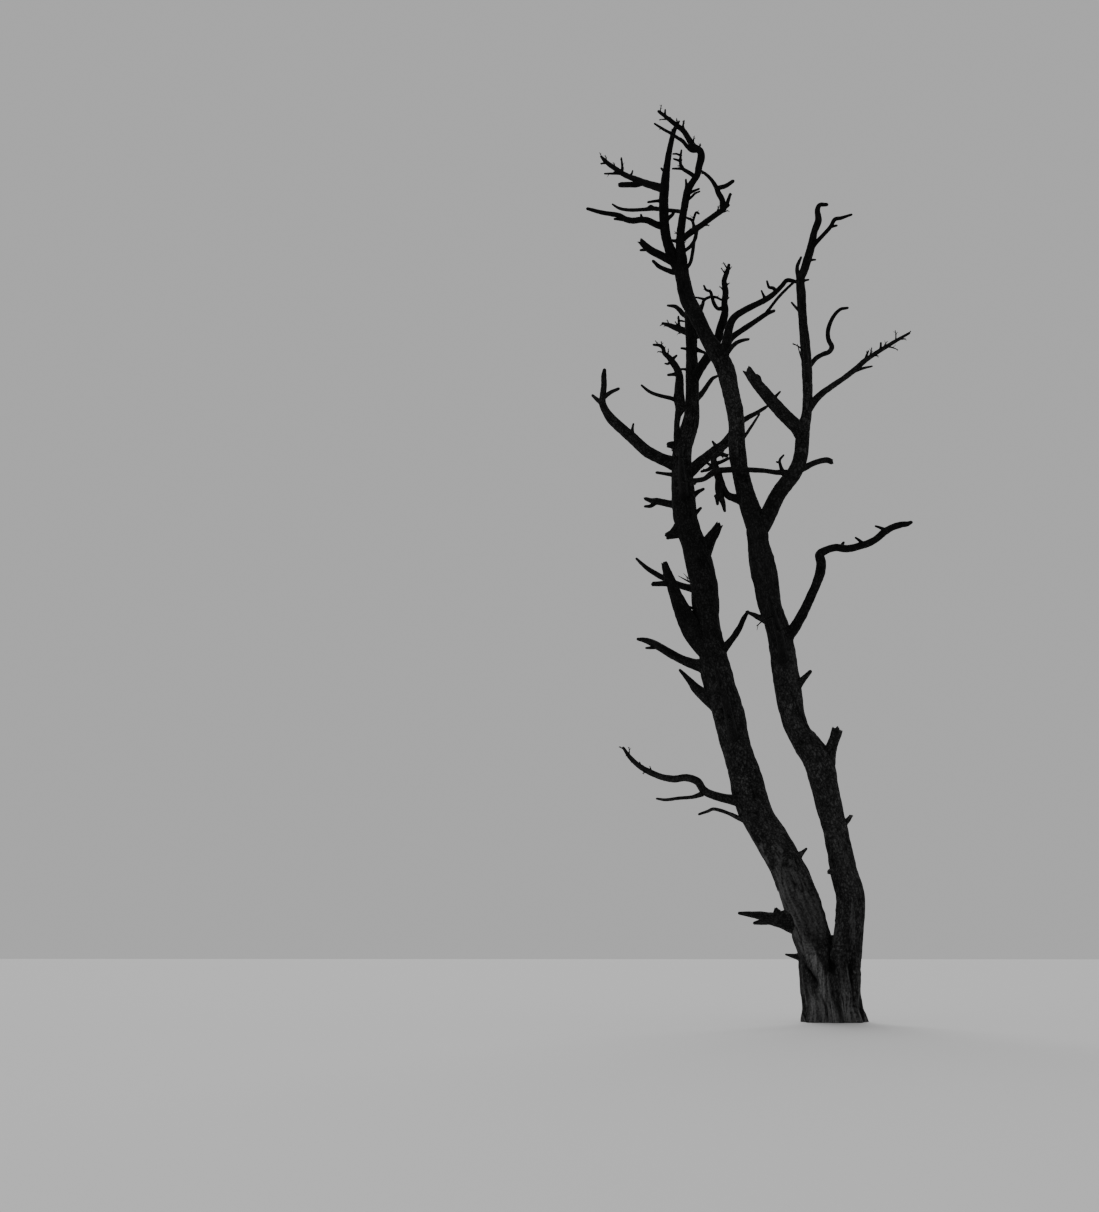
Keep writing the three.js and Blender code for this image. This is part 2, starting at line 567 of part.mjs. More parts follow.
// The right stem's elbowed bough, in two pieces that meet at the elbow
const elbowBough = limb([
  [-520, 5440, -300, 92], [-340, 5590, -420, 78], [-250, 5725, -520, 74], [-150, 5905, -640, 70],
  [-55, 6100, -750, 68], [28, 6285, -840, 68], [92, 6455, -910, 70], [112, 6600, -960, 70],
  [96, 6720, -1000, 64], [180, 6782, -1050, 54], [330, 6822, -1120, 52], [500, 6796, -1200, 56],
  [660, 6822, -1270, 52], [820, 6868, -1340, 52], [940, 6930, -1400, 50], [1060, 7030, -1450, 48],
  [1180, 7095, -1500, 46], [1300, 7128, -1550, 44], [1390, 7135, -1590, 36], [1440, 7152, -1610, 20],
]);
claim(elbowBough, "elbow_bough");
node("elbow_bough_inner", stretch(elbowBough, 0, 8).subtract(sheaths.rightStem), bark);
node("elbow_bough_outer", joined([
  stretch(elbowBough, 8, 19, { open: true, end: "point" }),
  stub([[420, 6810, -1160, 32], [432, 6860, -1150, 24], [450, 6888, -1140, 16]]),
  stub([[740, 6850, -1310, 30], [690, 6912, -1330, 22], [640, 6955, -1350, 14]]),
  stub([[1080, 7050, -1460, 30], [1010, 7092, -1480, 22], [940, 7122, -1500, 14]]),
]), bark);

// A bough that hangs, hooks upwards and carries a broken piece, with a tangle at its end
const hangingBough = limb([
  [-1010, 7640, -328, 64], [-1150, 7680, -390, 58], [-1240, 7725, -440, 54], [-1305, 7820, -480, 54],
  [-1350, 7940, -510, 60], [-1385, 8060, -535, 62], [-1415, 8160, -550, 58], [-1440, 8260, -540, 48],
  [-1430, 8350, -520, 40], [-1350, 8395, -490, 34], [-1255, 8365, -465, 26],
]);
const HANGING_SPLIT = 6;
claim(hangingBough, "hanging_bough", 0, HANGING_SPLIT);
node("hanging_bough", joined([
  stretch(hangingBough, 0, HANGING_SPLIT),
  stub([[-1365, 7970, -510, 56], [-1378, 7860, -520, 56], [-1362, 7740, -530, 52], [-1320, 7620, -540, 38],
    [-1296, 7490, -550, 18]], "point", BOUGH_SIDES),
  stub([[-1370, 7760, -530, 42], [-1405, 7700, -545, 36], [-1402, 7610, -555, 22]]),
  stub([[-1370, 7740, -530, 34], [-1436, 7722, -560, 24]], "broken"),
]).subtract(sheaths.middleLimb), bark);

bough("level_bough", limb([
  [-285, 8000, -425, 48], [-400, 8044, -470, 44], [-520, 8052, -510, 37], [-680, 8086, -545, 35],
  [-860, 8108, -570, 37], [-1050, 8128, -590, 40], [-1230, 8132, -625, 44], [-1390, 8128, -660, 48],
  [-1490, 8080, -690, 46], [-1590, 8012, -715, 38], [-1700, 7994, -735, 36], [-1785, 8004, -750, 23],
]), [sheaths.rightLimb], {
  stubs: [
    stub([[-400, 8050, -470, 30], [-432, 8150, -450, 25], [-440, 8240, -430, 20], [-385, 8310, -415, 14]]),
    stub([[-430, 8195, -440, 20], [-480, 8212, -450, 14]]),
    stub([[-1720, 7990, -735, 32], [-1738, 7950, -740, 20]]),
  ],
});

bough("blunt_right_bough", limb([
  [-230, 8060, -430, 56], [-80, 8098, -380, 46], [50, 8156, -280, 40], [170, 8192, -170, 40],
  [265, 8198, -90, 41], [335, 8166, -30, 37],
]), [sheaths.rightLimb], { end: "broken" });

bough("broken_right_bough", limb([
  [-88, 8600, -485, 100], [-170, 8760, -560, 100], [-310, 8925, -650, 94], [-480, 9140, -750, 91],
  [-650, 9360, -850, 84], [-790, 9560, -930, 75], [-885, 9730, -990, 70],
]), [sheaths.rightLimb], {
  end: "broken",
  stubs: [
    stub([[-510, 9220, -770, 28], [-455, 9285, -780, 22], [-405, 9335, -790, 14]]),
    stub([[-720, 9480, -890, 38], [-715, 9590, -900, 34], [-735, 9625, -905, 20]]),
  ],
});

const longRightBough = limb([
  [-10, 8990, -518, 66], [120, 9165, -570, 56], [250, 9285, -630, 48], [400, 9385, -700, 43],
  [600, 9515, -790, 41], [760, 9635, -860, 41], [880, 9740, -920, 39], [1010, 9830, -985, 35],
  [1160, 9920, -1060, 31], [1360, 10035, -1160, 27], [1575, 10152, -1260, 16],
]);
const LONG_RIGHT_SPLIT = 6;
claim(longRightBough, "long_right_bough", 0, LONG_RIGHT_SPLIT);
node("long_right_bough", joined([
  stretch(longRightBough, 0, LONG_RIGHT_SPLIT),
  stub([[690, 9585, -825, 28], [860, 9634, -838, 21], [992, 9656, -855, 14]]),
]).subtract(sheaths.rightLimb), bark);

bough("curled_bough", limb([
  [20, 9690, -578, 42], [85, 9755, -510, 37], [170, 9852, -430, 34], [270, 9905, -350, 34],
  [370, 9942, -270, 35], [412, 10025, -200, 37], [372, 10130, -150, 33], [362, 10240, -110, 32],
  [392, 10380, -70, 30], [468, 10530, -30, 27], [565, 10625, 10, 25], [668, 10642, 40, 20],
]), [sheaths.rightLimb]);

bough("high_right_bough", limb([
  [165, 11690, -760, 38], [225, 11765, -810, 35], [330, 11870, -890, 31], [470, 12020, -990, 29],
  [545, 12145, -1060, 31], [650, 12165, -1130, 27], [800, 12205, -1220, 17],
]), [sheaths.rightLimb], {
  stubs: [stub([[480, 12030, -1000, 28], [560, 12040, -1020, 18]])],
});

// Two boughs of the middle limb that reach right, past the right limb
const upperCluster = limb([
  [-1260, 9960, -208, 78], [-1202, 10190, -300, 68], [-1166, 10370, -350, 62], [-1110, 10560, -400, 58],
  [-1010, 10672, -440, 54], [-800, 10780, -480, 48], [-570, 10885, -510, 44], [-410, 10995, -525, 38],
  [-305, 11100, -535, 34], [-226, 11180, -540, 32], [-102, 11148, -545, 27],
]);
bough("upper_cluster_bough", upperCluster, [sheaths.middleLimb, sheath(shortClusterBough)], {
  stubs: [
    stub([[-570, 10880, -510, 26], [-600, 10960, -530, 18], [-625, 11030, -545, 13]]),
    stub([[-400, 11000, -525, 32], [-445, 11065, -560, 26], [-510, 11090, -600, 22],
      [-535, 11185, -640, 14]]),
  ],
});
bough("lower_cluster_bough", limb([
  [-1255, 9990, -205, 62], [-1160, 10215, -110, 50], [-1070, 10320, -50, 46], [-900, 10430, 30, 42],
  [-720, 10545, 110, 39], [-570, 10640, 180, 34], [-455, 10682, 230, 22],
]), [sheaths.middleLimb, sheath(upperCluster)], {
  stubs: [stub([[-580, 10635, 175, 28], [-485, 10762, 195, 24], [-385, 10890, 215, 23],
    [-270, 11010, 235, 22], [-138, 11130, 250, 19]])],
});

// Boughs of the two leaders
const leaderBough = limb([
  [-2115, 12930, 0, 68], [-2240, 12985, 90, 61], [-2400, 13055, 210, 56], [-2530, 13125, 310, 52],
  [-2660, 13192, 410, 44], [-2800, 13280, 520, 40], [-2900, 13365, 600, 38], [-3000, 13450, 680, 35],
  [-3080, 13530, 740, 31], [-3140, 13612, 790, 18],
]);
const LEADER_SPLIT = 4;
claim(leaderBough, "upper_left_bough", 0, LEADER_SPLIT);
node("upper_left_bough", joined([
  stretch(leaderBough, 0, LEADER_SPLIT),
  stub([[-2440, 13085, 240, 46], [-2580, 13062, 300, 44], [-2720, 13072, 350, 42],
    [-2830, 13080, 390, 38]], "broken"),
]).subtract(sheaths.leftLeader), bark);

bough("long_left_bough", limb([
  [-2136, 12270, -40, 60], [-2270, 12330, -130, 52], [-2390, 12405, -220, 50], [-2490, 12428, -300, 48],
  [-2630, 12425, -400, 46], [-2750, 12462, -490, 44], [-2830, 12520, -550, 41], [-2920, 12558, -620, 38],
  [-3060, 12594, -720, 35], [-3210, 12642, -830, 32], [-3365, 12702, -940, 23],
]), [sheaths.leftLeader], {
  stubs: [
    stub([[-2760, 12466, -490, 34], [-2840, 12470, -530, 25], [-2925, 12482, -580, 17]]),
    stub([[-2490, 12430, -300, 30], [-2502, 12505, -310, 16]]),
  ],
});

bough("thin_left_bough", limb([
  [-1822, 12500, -262, 30], [-1920, 12525, -60, 30], [-2040, 12548, 130, 30], [-2200, 12585, 300, 30],
  [-2330, 12612, 420, 36], [-2450, 12606, 520, 29], [-2620, 12612, 640, 27], [-2760, 12632, 740, 25],
  [-2870, 12672, 820, 22], [-2960, 12742, 880, 14],
]), [sheaths.rightLeader], {
  stubs: [stub([[-2300, 12600, 400, 38], [-2345, 12650, 430, 28], [-2390, 12630, 450, 16]])],
});

bough("short_left_bough", limb([
  [-2005, 11660, -72, 72], [-2190, 11775, -190, 64], [-2330, 11865, -280, 58], [-2430, 11955, -350, 56],
  [-2520, 12062, -410, 43],
]), [sheaths.leftLeader, sheaths.middleLimb, sheaths.rightLeader], {
  end: "broken",
  stubs: [stub([[-2400, 11920, -330, 32], [-2450, 11902, -350, 24], [-2510, 11898, -370, 17]])],
});

// Masses of bare twigs. Each has one stem, and twigs that branch from it by a seeded rule.

function randomFrom(seed) {
  let state = seed;
  return () => {
    state = (state + 0x6d2b79f5) | 0;
    let mixed = Math.imul(state ^ (state >>> 15), 1 | state);
    mixed = (mixed + Math.imul(mixed ^ (mixed >>> 7), 61 | mixed)) ^ mixed;
    return ((mixed ^ (mixed >>> 14)) >>> 0) / 4294967296;
  };
}

// The point, direction, frame and radius part of the way along a limb
function placeOn(form, share) {
  const at = share * (form.rings.length - 1);
  const below = Math.min(Math.floor(at), form.rings.length - 2);
  const from = form.rings[below];
  const to = form.rings[below + 1];
  return {
    point: from.centre.clone().lerp(to.centre, at - below),
    along: from.along.clone().lerp(to.along, at - below).normalize(),
    side: from.side,
    cross: from.cross,
    radius: THREE.MathUtils.lerp(from.radius, to.radius, at - below),
  };
}

function touches(points, radii, owner) {
  const segment = new THREE.Line3();
  const near = new THREE.Vector3();
  for (let i = 1; i < points.length; i += 1) {
    const steps = Math.ceil(points[i].distanceTo(points[i - 1]) / TWIGS.stride);
    for (let j = 0; j <= steps; j += 1) {
      const spot = points[i - 1].clone().lerp(points[i], j / steps);
      const radius = THREE.MathUtils.lerp(radii[i - 1], radii[i], j / steps);
      for (const other of taken) {
        if (other.owner !== owner) {
          segment.set(other.from, other.to).closestPointToPoint(spot, true, near);
          if (near.distanceTo(spot) < other.radius + radius + TWIGS.clear) {
            return true;
          }
        }
      }
    }
  }
  return false;
}

// A twig's three points, its outer half turned aside
function twigPoints(root, towards, length, aside) {
  const middle = root.clone().addScaledVector(towards, length / 2);
  const outward = towards.clone().addScaledVector(aside, TWIGS.bend).normalize();
  return [root, middle, middle.clone().addScaledVector(outward, length / 2)];
}

// The seeded twigs along a stem from one share of its length to its tip. A fan below 1 keeps them
// near the plane that holds the line of sight.
function twigsOn(form, owner, { seed, count, reach, from, fan = 1 }) {
  const random = randomFrom(seed);
  const grown = [];
  for (let i = 0; i < count; i += 1) {
    const share = from + (1 - from) * ((i + TWIGS.scatter * random()) / count);
    const turn = i * TWIGS.turn + TWIGS.wander * (random() - 0.5);
    const lean = TWIGS.leanLow + TWIGS.leanSpread * random();
    const length = reach * (TWIGS.shortest + (1 - TWIGS.shortest) * random()) * (1 - TWIGS.fade * share);
    const aside = new THREE.Vector3(random() - 0.5, random() - 0.5, random() - 0.5);
    const at = placeOn(form, share);
    const outwards = new THREE.Vector3()
      .addScaledVector(at.side, Math.sin(turn))
      .addScaledVector(at.cross, Math.cos(turn));
    outwards.x *= fan;
    outwards.normalize();
    const towards = at.along.clone().multiplyScalar(Math.cos(lean));
    towards.addScaledVector(outwards, Math.sin(lean));
    towards.z += TWIGS.lift;
    towards.normalize();
    const points = twigPoints(at.point, towards, length, aside);
    const thick = Math.max(at.radius * TWIGS.root, TWIGS.thinnest);
    const radii = [thick, (thick + TWIGS.tip) / 2, TWIGS.tip];
    if (!touches(points, radii, owner)) {
      grown.push(limbThrough(points.map((point, k) => ({ point, radius: radii[k] })), TWIG_SIDES, 1));
    }
  }
  return grown;
}

// A side twig of a mass that the front shows
function strand(knots, owner) {
  const form = limb(knots, knots[0][3] < SLENDER ? TWIG_SIDES : THIN_SIDES);
  claim(form, owner);
  return rod(form, { end: "point" });
}

// A mass on a stem of its own, or on a bough's outer stretch, from one knot to the tip
function mass(name, form, firstKnot, rule, carriers = [], strands = []) {
  const last = form.rings.length - 1;
  const start = firstKnot / last;
  claim(form, name, firstKnot, last);
  const solids = [stretch(form, firstKnot, last, { open: true, end: "point" })];
  solids.push(...strands.map((knots) => strand(knots, name)));
  for (const twig of twigsOn(form, name, { ...rule, from: start + TWIGS.bare * (1 - start) })) {
    claim(twig, name);
    solids.push(rod(twig, { end: "point" }));
  }
  node(name, clearOf(joined(solids), carriers), twigBark);
}

mass("top_twigs", rightLeader, RIGHT_LEADER_SPLIT, { seed: 11, count: 12, reach: 300 },
[sheaths.leftLeader], [
  [[-1550, 13575, -425, 34], [-1660, 13572, -400, 34], [-1740, 13655, -380, 32], [-1812, 13760, -360, 30],
    [-1910, 13840, -340, 27], [-1972, 13900, -320, 25], [-2100, 13990, -300, 23], [-2250, 14112, -280, 17]],
  [[-1790, 13940, -490, 20], [-1795, 14030, -500, 17], [-1780, 14112, -510, 13]],
  [[-1890, 14042, -510, 19], [-1872, 14080, -520, 16], [-1858, 14112, -530, 12]],
  [[-2070, 14215, -548, 19], [-2085, 14280, -550, 16], [-2082, 14345, -555, 12]],
]);

mass("inner_top_twigs", limb([
  [-1590, 13070, -362, 34], [-1710, 13180, -330, 30], [-1810, 13258, -300, 28], [-1845, 13330, -290, 27],
  [-1852, 13440, -290, 23], [-1832, 13585, -295, 15],
], THIN_SIDES), 0, { seed: 23, count: 5, reach: 160 }, [sheaths.rightLeader], [
  [[-1810, 13258, -300, 22], [-1890, 13272, -320, 19], [-1970, 13282, -340, 14]],
  [[-1850, 13400, -290, 21], [-1900, 13428, -310, 18], [-1952, 13450, -325, 13]],
  [[-1845, 13500, -292, 19], [-1905, 13536, -310, 16], [-1962, 13542, -320, 12]],
]);

mass("upper_left_twigs", leaderBough, LEADER_SPLIT, { seed: 37, count: 9, reach: 240 }, [], [
  [[-2805, 13283, 524, 22], [-2800, 13420, 540, 19], [-2812, 13550, 555, 14]],
  [[-2790, 13272, 515, 21], [-2930, 13290, 480, 19], [-3080, 13302, 440, 14]],
  [[-2690, 13205, 432, 20], [-2650, 13250, 440, 17], [-2632, 13300, 450, 13]],
  [[-3050, 13500, 716, 20], [-3095, 13492, 730, 17], [-3140, 13490, 740, 13]],
]);

mass("upper_right_twigs", limb([
  [-1840, 12040, -195, 54], [-1720, 12130, -260, 50], [-1560, 12230, -350, 47], [-1400, 12340, -440, 44],
  [-1270, 12430, -520, 42], [-1180, 12490, -580, 38], [-1120, 12590, -640, 30], [-1072, 12730, -700, 20],
], STUB_SIDES), 0, { seed: 41, count: 9, reach: 250 }, [sheaths.rightLeader, sheaths.middleLimb], [
  [[-1200, 12480, -570, 45], [-1195, 12640, -600, 45], [-1255, 12780, -620, 43], [-1287, 12880, -630, 38],
    [-1360, 13020, -640, 28], [-1450, 13130, -640, 24], [-1535, 13205, -640, 18]],
  [[-1285, 12862, -628, 35], [-1140, 12890, -680, 34], [-1035, 12952, -720, 30]],
  [[-1640, 12185, -305, 26], [-1635, 12040, -290, 28], [-1720, 11895, -230, 28], [-1850, 11800, -160, 28]],
  [[-1640, 12190, -305, 26], [-1622, 12110, -330, 28], [-1660, 11980, -340, 28], [-1690, 11780, -300, 28],
    [-1732, 11610, -230, 28], [-1830, 11470, -130, 28]],
  [[-1650, 12170, -300, 26], [-1682, 12330, -330, 22], [-1765, 12392, -350, 16]],
  [[-1675, 12315, -328, 20], [-1622, 12470, -350, 18], [-1580, 12452, -360, 14]],
  [[-1150, 12540, -610, 20], [-1122, 12520, -620, 17], [-1095, 12545, -625, 13]],
]);

mass("bridge_twigs", upperBridge, UPPER_BRIDGE_SPLIT, { seed: 53, count: 8, reach: 240 },
[sheaths.middleLimb], [
  [[-1215, 10800, 243, 30], [-1310, 10792, 200, 29], [-1370, 10880, 160, 28], [-1402, 11000, 130, 26],
    [-1425, 11090, 110, 23], [-1490, 11125, 80, 20], [-1520, 11192, 60, 14]],
  [[-1405, 10995, 130, 22], [-1340, 10988, 150, 21], [-1262, 10942, 175, 16]],
  [[-1405, 11010, 128, 22], [-1520, 10962, 60, 22], [-1552, 10880, 0, 28], [-1595, 10750, -90, 32]],
  [[-1510, 10965, 66, 20], [-1590, 10992, 80, 17], [-1652, 11010, 95, 13]],
]);

mass("right_twigs", longRightBough, LONG_RIGHT_SPLIT, { seed: 67, count: 9, reach: 260 }, [], [
  [[908, 9758, -932, 22], [924, 9832, -944, 18], [954, 9902, -952, 13]],
  [[1140, 9908, -1050, 21], [1146, 9960, -1060, 18], [1152, 10022, -1070, 13]],
]);

mass("tangle_twigs", hangingBough, HANGING_SPLIT, { seed: 71, count: 9, reach: 200 },
[sheaths.middleLimb], [
  [[-1436, 8235, -545, 30], [-1520, 8160, -570, 28], [-1620, 8132, -590, 20]],
  [[-1438, 8245, -545, 26], [-1490, 8222, -560, 23], [-1552, 8272, -575, 15]],
  [[-1435, 8240, -545, 26], [-1340, 8262, -560, 26], [-1250, 8300, -580, 24], [-1165, 8330, -600, 16]],
]);

mass("low_left_twigs", lowLeftBough, LOW_LEFT_SPLIT, { seed: 83, count: 8, reach: 200 });

mass("inner_left_twigs", innerLeftBough, INNER_LEFT_SPLIT, { seed: 97, count: 7, reach: 200 }, [], [
  [[-2060, 9975, 208, 30], [-2020, 10020, 200, 24], [-1988, 10047, 195, 16]],
  [[-2062, 9975, 208, 24], [-2110, 9928, 190, 20], [-2150, 9932, 170, 14]],
]);

mass("high_left_twigs", limb([
  [-1738, 10390, 742, 58], [-1800, 10435, 800, 56], [-1900, 10482, 880, 52], [-2000, 10530, 960, 44],
  [-2100, 10580, 1040, 32], [-2182, 10612, 1100, 18],
], STUB_SIDES), 0, { seed: 103, count: 8, reach: 240 }, [sheaths.leftStem], [
  [[-1925, 10495, 900, 26], [-1932, 10600, 900, 20], [-1936, 10702, 900, 14]],
  [[-1932, 10640, 900, 18], [-1890, 10632, 915, 16], [-1855, 10622, 930, 13]],
]);

// Boughs of the front and the back, which carry their own twigs

mass("rear_twigs_low", limb([
  [-1605, 5850, 485, 70], [-1640, 6200, 800, 62], [-1662, 6500, 1150, 52], [-1712, 6780, 1480, 38],
  [-1765, 7000, 1760, 17],
], STUB_SIDES), 0, { seed: 113, count: 8, reach: 620, fan: FAN }, [sheaths.leftStem]);

mass("front_twigs_low", limb([
  [-1235, 3900, 310, 78], [-1290, 4200, -150, 66], [-1360, 4560, -600, 54], [-1440, 4850, -950, 38],
  [-1500, 5080, -1200, 17],
], STUB_SIDES), 0, { seed: 127, count: 8, reach: 620, fan: FAN }, [sheaths.leftStem]);

mass("front_twigs_middle", limb([
  [-480, 5050, -285, 72], [-520, 5400, -750, 60], [-590, 5750, -1180, 48], [-650, 6000, -1500, 34],
  [-690, 6180, -1720, 16],
], STUB_SIDES), 0, { seed: 131, count: 8, reach: 620, fan: FAN }, [sheaths.rightStem]);

mass("rear_twigs_middle", limb([
  [-740, 6480, -330, 66], [-765, 6780, 100, 58], [-790, 7030, 550, 50], [-850, 7330, 1000, 36],
  [-930, 7600, 1400, 16],
], STUB_SIDES), 0, { seed: 149, count: 8, reach: 620, fan: FAN },
[sheaths.rightStem, sheaths.middleLimb, sheaths.rightLimb]);

mass("rear_twigs_high", limb([
  [-1085, 8900, -290, 58], [-1095, 9200, 150, 50], [-1140, 9480, 600, 40], [-1200, 9760, 1050, 16],
], STUB_SIDES), 0, { seed: 151, count: 7, reach: 540, fan: FAN }, [sheaths.middleLimb]);

mass("front_twigs_high", limb([
  [-1905, 7700, 610, 68], [-1922, 7920, 150, 60], [-1938, 8150, -280, 48], [-1945, 8360, -660, 34],
  [-1940, 8520, -900, 16],
], STUB_SIDES), 0, { seed: 163, count: 7, reach: 560, fan: FAN }, [sheaths.leftStem]);

mass("rear_twigs_top", limb([
  [-1878, 11500, -85, 48], [-1895, 11750, 280, 40], [-1885, 12050, 650, 31], [-1870, 12330, 980, 15],
], STUB_SIDES), 0, { seed: 173, count: 7, reach: 460, fan: FAN },
[sheaths.middleLimb, sheaths.leftLeader, sheaths.rightLeader]);

mass("front_twigs_right", limb([
  [20, 9480, -560, 48], [18, 9720, -950, 42], [10, 9960, -1300, 32], [0, 10200, -1600, 15],
], STUB_SIDES), 0, { seed: 181, count: 7, reach: 480, fan: FAN }, [sheaths.rightLimb]);

export default tree;
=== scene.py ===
import collections
import functools
import math

import bpy
import numpy as np
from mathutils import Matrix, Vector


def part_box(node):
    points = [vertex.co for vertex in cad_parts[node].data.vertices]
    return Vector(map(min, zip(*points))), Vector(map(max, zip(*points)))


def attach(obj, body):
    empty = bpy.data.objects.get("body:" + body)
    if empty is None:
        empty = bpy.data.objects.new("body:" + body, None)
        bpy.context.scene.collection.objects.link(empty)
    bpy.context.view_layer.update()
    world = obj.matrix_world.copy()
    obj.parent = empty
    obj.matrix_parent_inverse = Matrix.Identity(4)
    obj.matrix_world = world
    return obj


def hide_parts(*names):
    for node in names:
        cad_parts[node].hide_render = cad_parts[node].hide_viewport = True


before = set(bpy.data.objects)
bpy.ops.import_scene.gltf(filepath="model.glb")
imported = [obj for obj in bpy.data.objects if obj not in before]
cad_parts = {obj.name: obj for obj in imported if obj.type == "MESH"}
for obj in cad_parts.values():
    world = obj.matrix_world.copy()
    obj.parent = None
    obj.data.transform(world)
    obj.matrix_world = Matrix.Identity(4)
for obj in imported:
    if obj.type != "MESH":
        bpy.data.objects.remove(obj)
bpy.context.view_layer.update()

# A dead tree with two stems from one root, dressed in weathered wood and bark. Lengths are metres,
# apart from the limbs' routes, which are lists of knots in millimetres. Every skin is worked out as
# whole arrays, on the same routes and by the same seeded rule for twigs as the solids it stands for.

MM = 0.001

# Camera
IMAGE_HEIGHT, FOCAL_LENGTH = 1212, 1500.0  # pixels
SENSOR = 36.0
EYE = (0.0, -22.0, 0.895)
YAW, PITCH = 10.310, 13.127  # degrees to the left and up from straight ahead

# The seeded rule for twigs, in radians, metres and shares, as the solids have it
TWIGS = dict(lean_low=0.6, lean_spread=0.5, shortest=0.5, fade=0.4, lift=0.2, bend=0.5, root=0.55,
             clear=0.008, stride=0.012, turn=2.4, wander=0.7, scatter=0.8, bare=0.04, thickest=0.038)
THICKNESS = [(0.012, 0.006), (0.0055, 0.003), (0.0032, 0.0018)]  # least root and tip, level by level
FAN = 0.25  # how far the twigs of the front and the back stand out to either side
FINER = [dict(count=3, reach=0.5, first=0.25), dict(count=2, reach=0.5, first=0.3)]


def camera():
    """The photograph's eye: at the height of its horizon, turned and tilted as its frame is."""
    lens = bpy.data.cameras.new("camera")
    lens.sensor_width = SENSOR
    lens.lens = FOCAL_LENGTH / IMAGE_HEIGHT * SENSOR
    lens.clip_end = 1000.0
    eye = bpy.data.objects.new("camera", lens)
    eye.location = EYE
    eye.rotation_euler = (math.radians(90 + PITCH), 0.0, math.radians(YAW))
    bpy.context.scene.collection.objects.link(eye)
    bpy.context.scene.camera = eye


camera()


# Noise

def smooth_step(low, high, value):
    """0 at low, 1 at high, and 3t²-2t³ between them. low may be the higher of the two."""
    t = np.clip((value - low) / (high - low), 0.0, 1.0)
    return t * t * (3.0 - 2.0 * t)


def lattice(x, y, z, seed):
    """A repeatable number from 0 to 1 for each whole point: its coordinates and the seed are
    multiplied by large odd numbers, summed, cut to 32 bits and mixed."""
    mixed = (x * 374761393 + y * 668265263 + z * 1442695041 + seed * 1013904223) & 0xFFFFFFFF
    mixed = ((mixed ^ (mixed >> 13)) * 1274126177) & 0xFFFFFFFF
    return (mixed ^ (mixed >> 16)) / 2.0 ** 32


def noise(points, cell, seed):
    """Smooth noise from 0 to 1 at points (..., 3): the lattice numbers at the eight corners of each
    point's cell, blended along each side by 3t²-2t³. cell is the cell's size, or its three sizes."""
    scaled = points / np.asarray(cell, float)
    low = np.floor(scaled).astype(np.int64)
    t = scaled - low
    t = t * t * (3.0 - 2.0 * t)
    total = np.zeros(points.shape[:-1])
    for corner in range(8):
        step = np.array([corner & 1, corner >> 1 & 1, corner >> 2 & 1])
        weight = np.prod(np.where(step, t, 1.0 - t), axis=-1)
        at = low + step
        total += weight * lattice(at[..., 0], at[..., 1], at[..., 2], seed)
    return total


def ripple(points, wide, long, seed):
    """Noise about 0 in cells that are longer along the last coordinate."""
    return noise(points, [wide, wide, long], seed) - 0.5


# Limbs

class Limb:
    """One tapering limb through knots: points and radii, and at each knot a direction and a frame,
    side and cross, which is carried on from knot to knot. teeth counts the teeth of a broken end's
    rim. With none, the end is pointed."""

    def __init__(self, points, radii, teeth=0):
        self.points, self.radii = np.asarray(points, float), np.asarray(radii, float)
        self.teeth = teeth
        self.along = self.direction(np.linspace(0.0, 1.0, len(self.points)))
        self.side, self.cross = frames(self.along)
        self.phase = self.points[0, 2] * 13.0

    def place(self, share):
        """Points at shares of the knots' count, on the uniform Catmull-Rom curve through them: between
        knots b and c, with a before and d after, b + vt + (3(c-b)-2v-w)t² + (2(b-c)+v+w)t³, where v
        is half of c-a and w half of d-b. The first and last knots are carried on in a straight line."""
        p = np.vstack([2 * self.points[0] - self.points[1], self.points,
                       2 * self.points[-1] - self.points[-2]])
        at = np.clip(share, 0.0, 1.0) * (len(self.points) - 1)
        k = np.minimum(at.astype(int), len(self.points) - 2)
        t = (at - k)[:, None]
        a, b, c, d = p[k], p[k + 1], p[k + 2], p[k + 3]
        v, w = 0.5 * (c - a), 0.5 * (d - b)
        return b + v * t + (3 * (c - b) - 2 * v - w) * t ** 2 + (2 * (b - c) + v + w) * t ** 3

    def direction(self, share, step=0.0001):
        """The unit vector from just before each share to just after it."""
        ahead = self.place(np.minimum(share + step, 1.0)) - self.place(np.maximum(share - step, 0.0))
        return ahead / np.linalg.norm(ahead, axis=1, keepdims=True)

    def width(self, share):
        """The half width at each share, in a straight line from knot to knot."""
        return np.interp(share * (len(self.radii) - 1), np.arange(len(self.radii)), self.radii)

    def at(self, share):
        """The point, direction, frame and half width at a share, on the straight line between knots."""
        place = share * (len(self.points) - 1)
        k = min(int(place), len(self.points) - 2)
        t = place - k
        along = self.along[k] * (1 - t) + self.along[k + 1] * t
        return (self.points[k] * (1 - t) + self.points[k + 1] * t, along / np.linalg.norm(along),
                self.side[k], self.cross[k], self.radii[k] * (1 - t) + self.radii[k + 1] * t)


def frames(along):
    """For each direction of a path, a side square to it, carried from ring to ring with no twist, and
    the cross of the two. The first side is +Z made square, or +X on a limb that is near upright."""
    upright = abs(along[0, 2]) > 0.8
    side = np.array([1.0, 0.0, 0.0]) if upright else np.array([0.0, 0.0, 1.0])
    sides = np.empty_like(along)
    for i, ahead in enumerate(along):
        side = side - ahead * (side @ ahead)
        side = side / np.linalg.norm(side)
        sides[i] = side
    return sides, np.cross(sides, along)


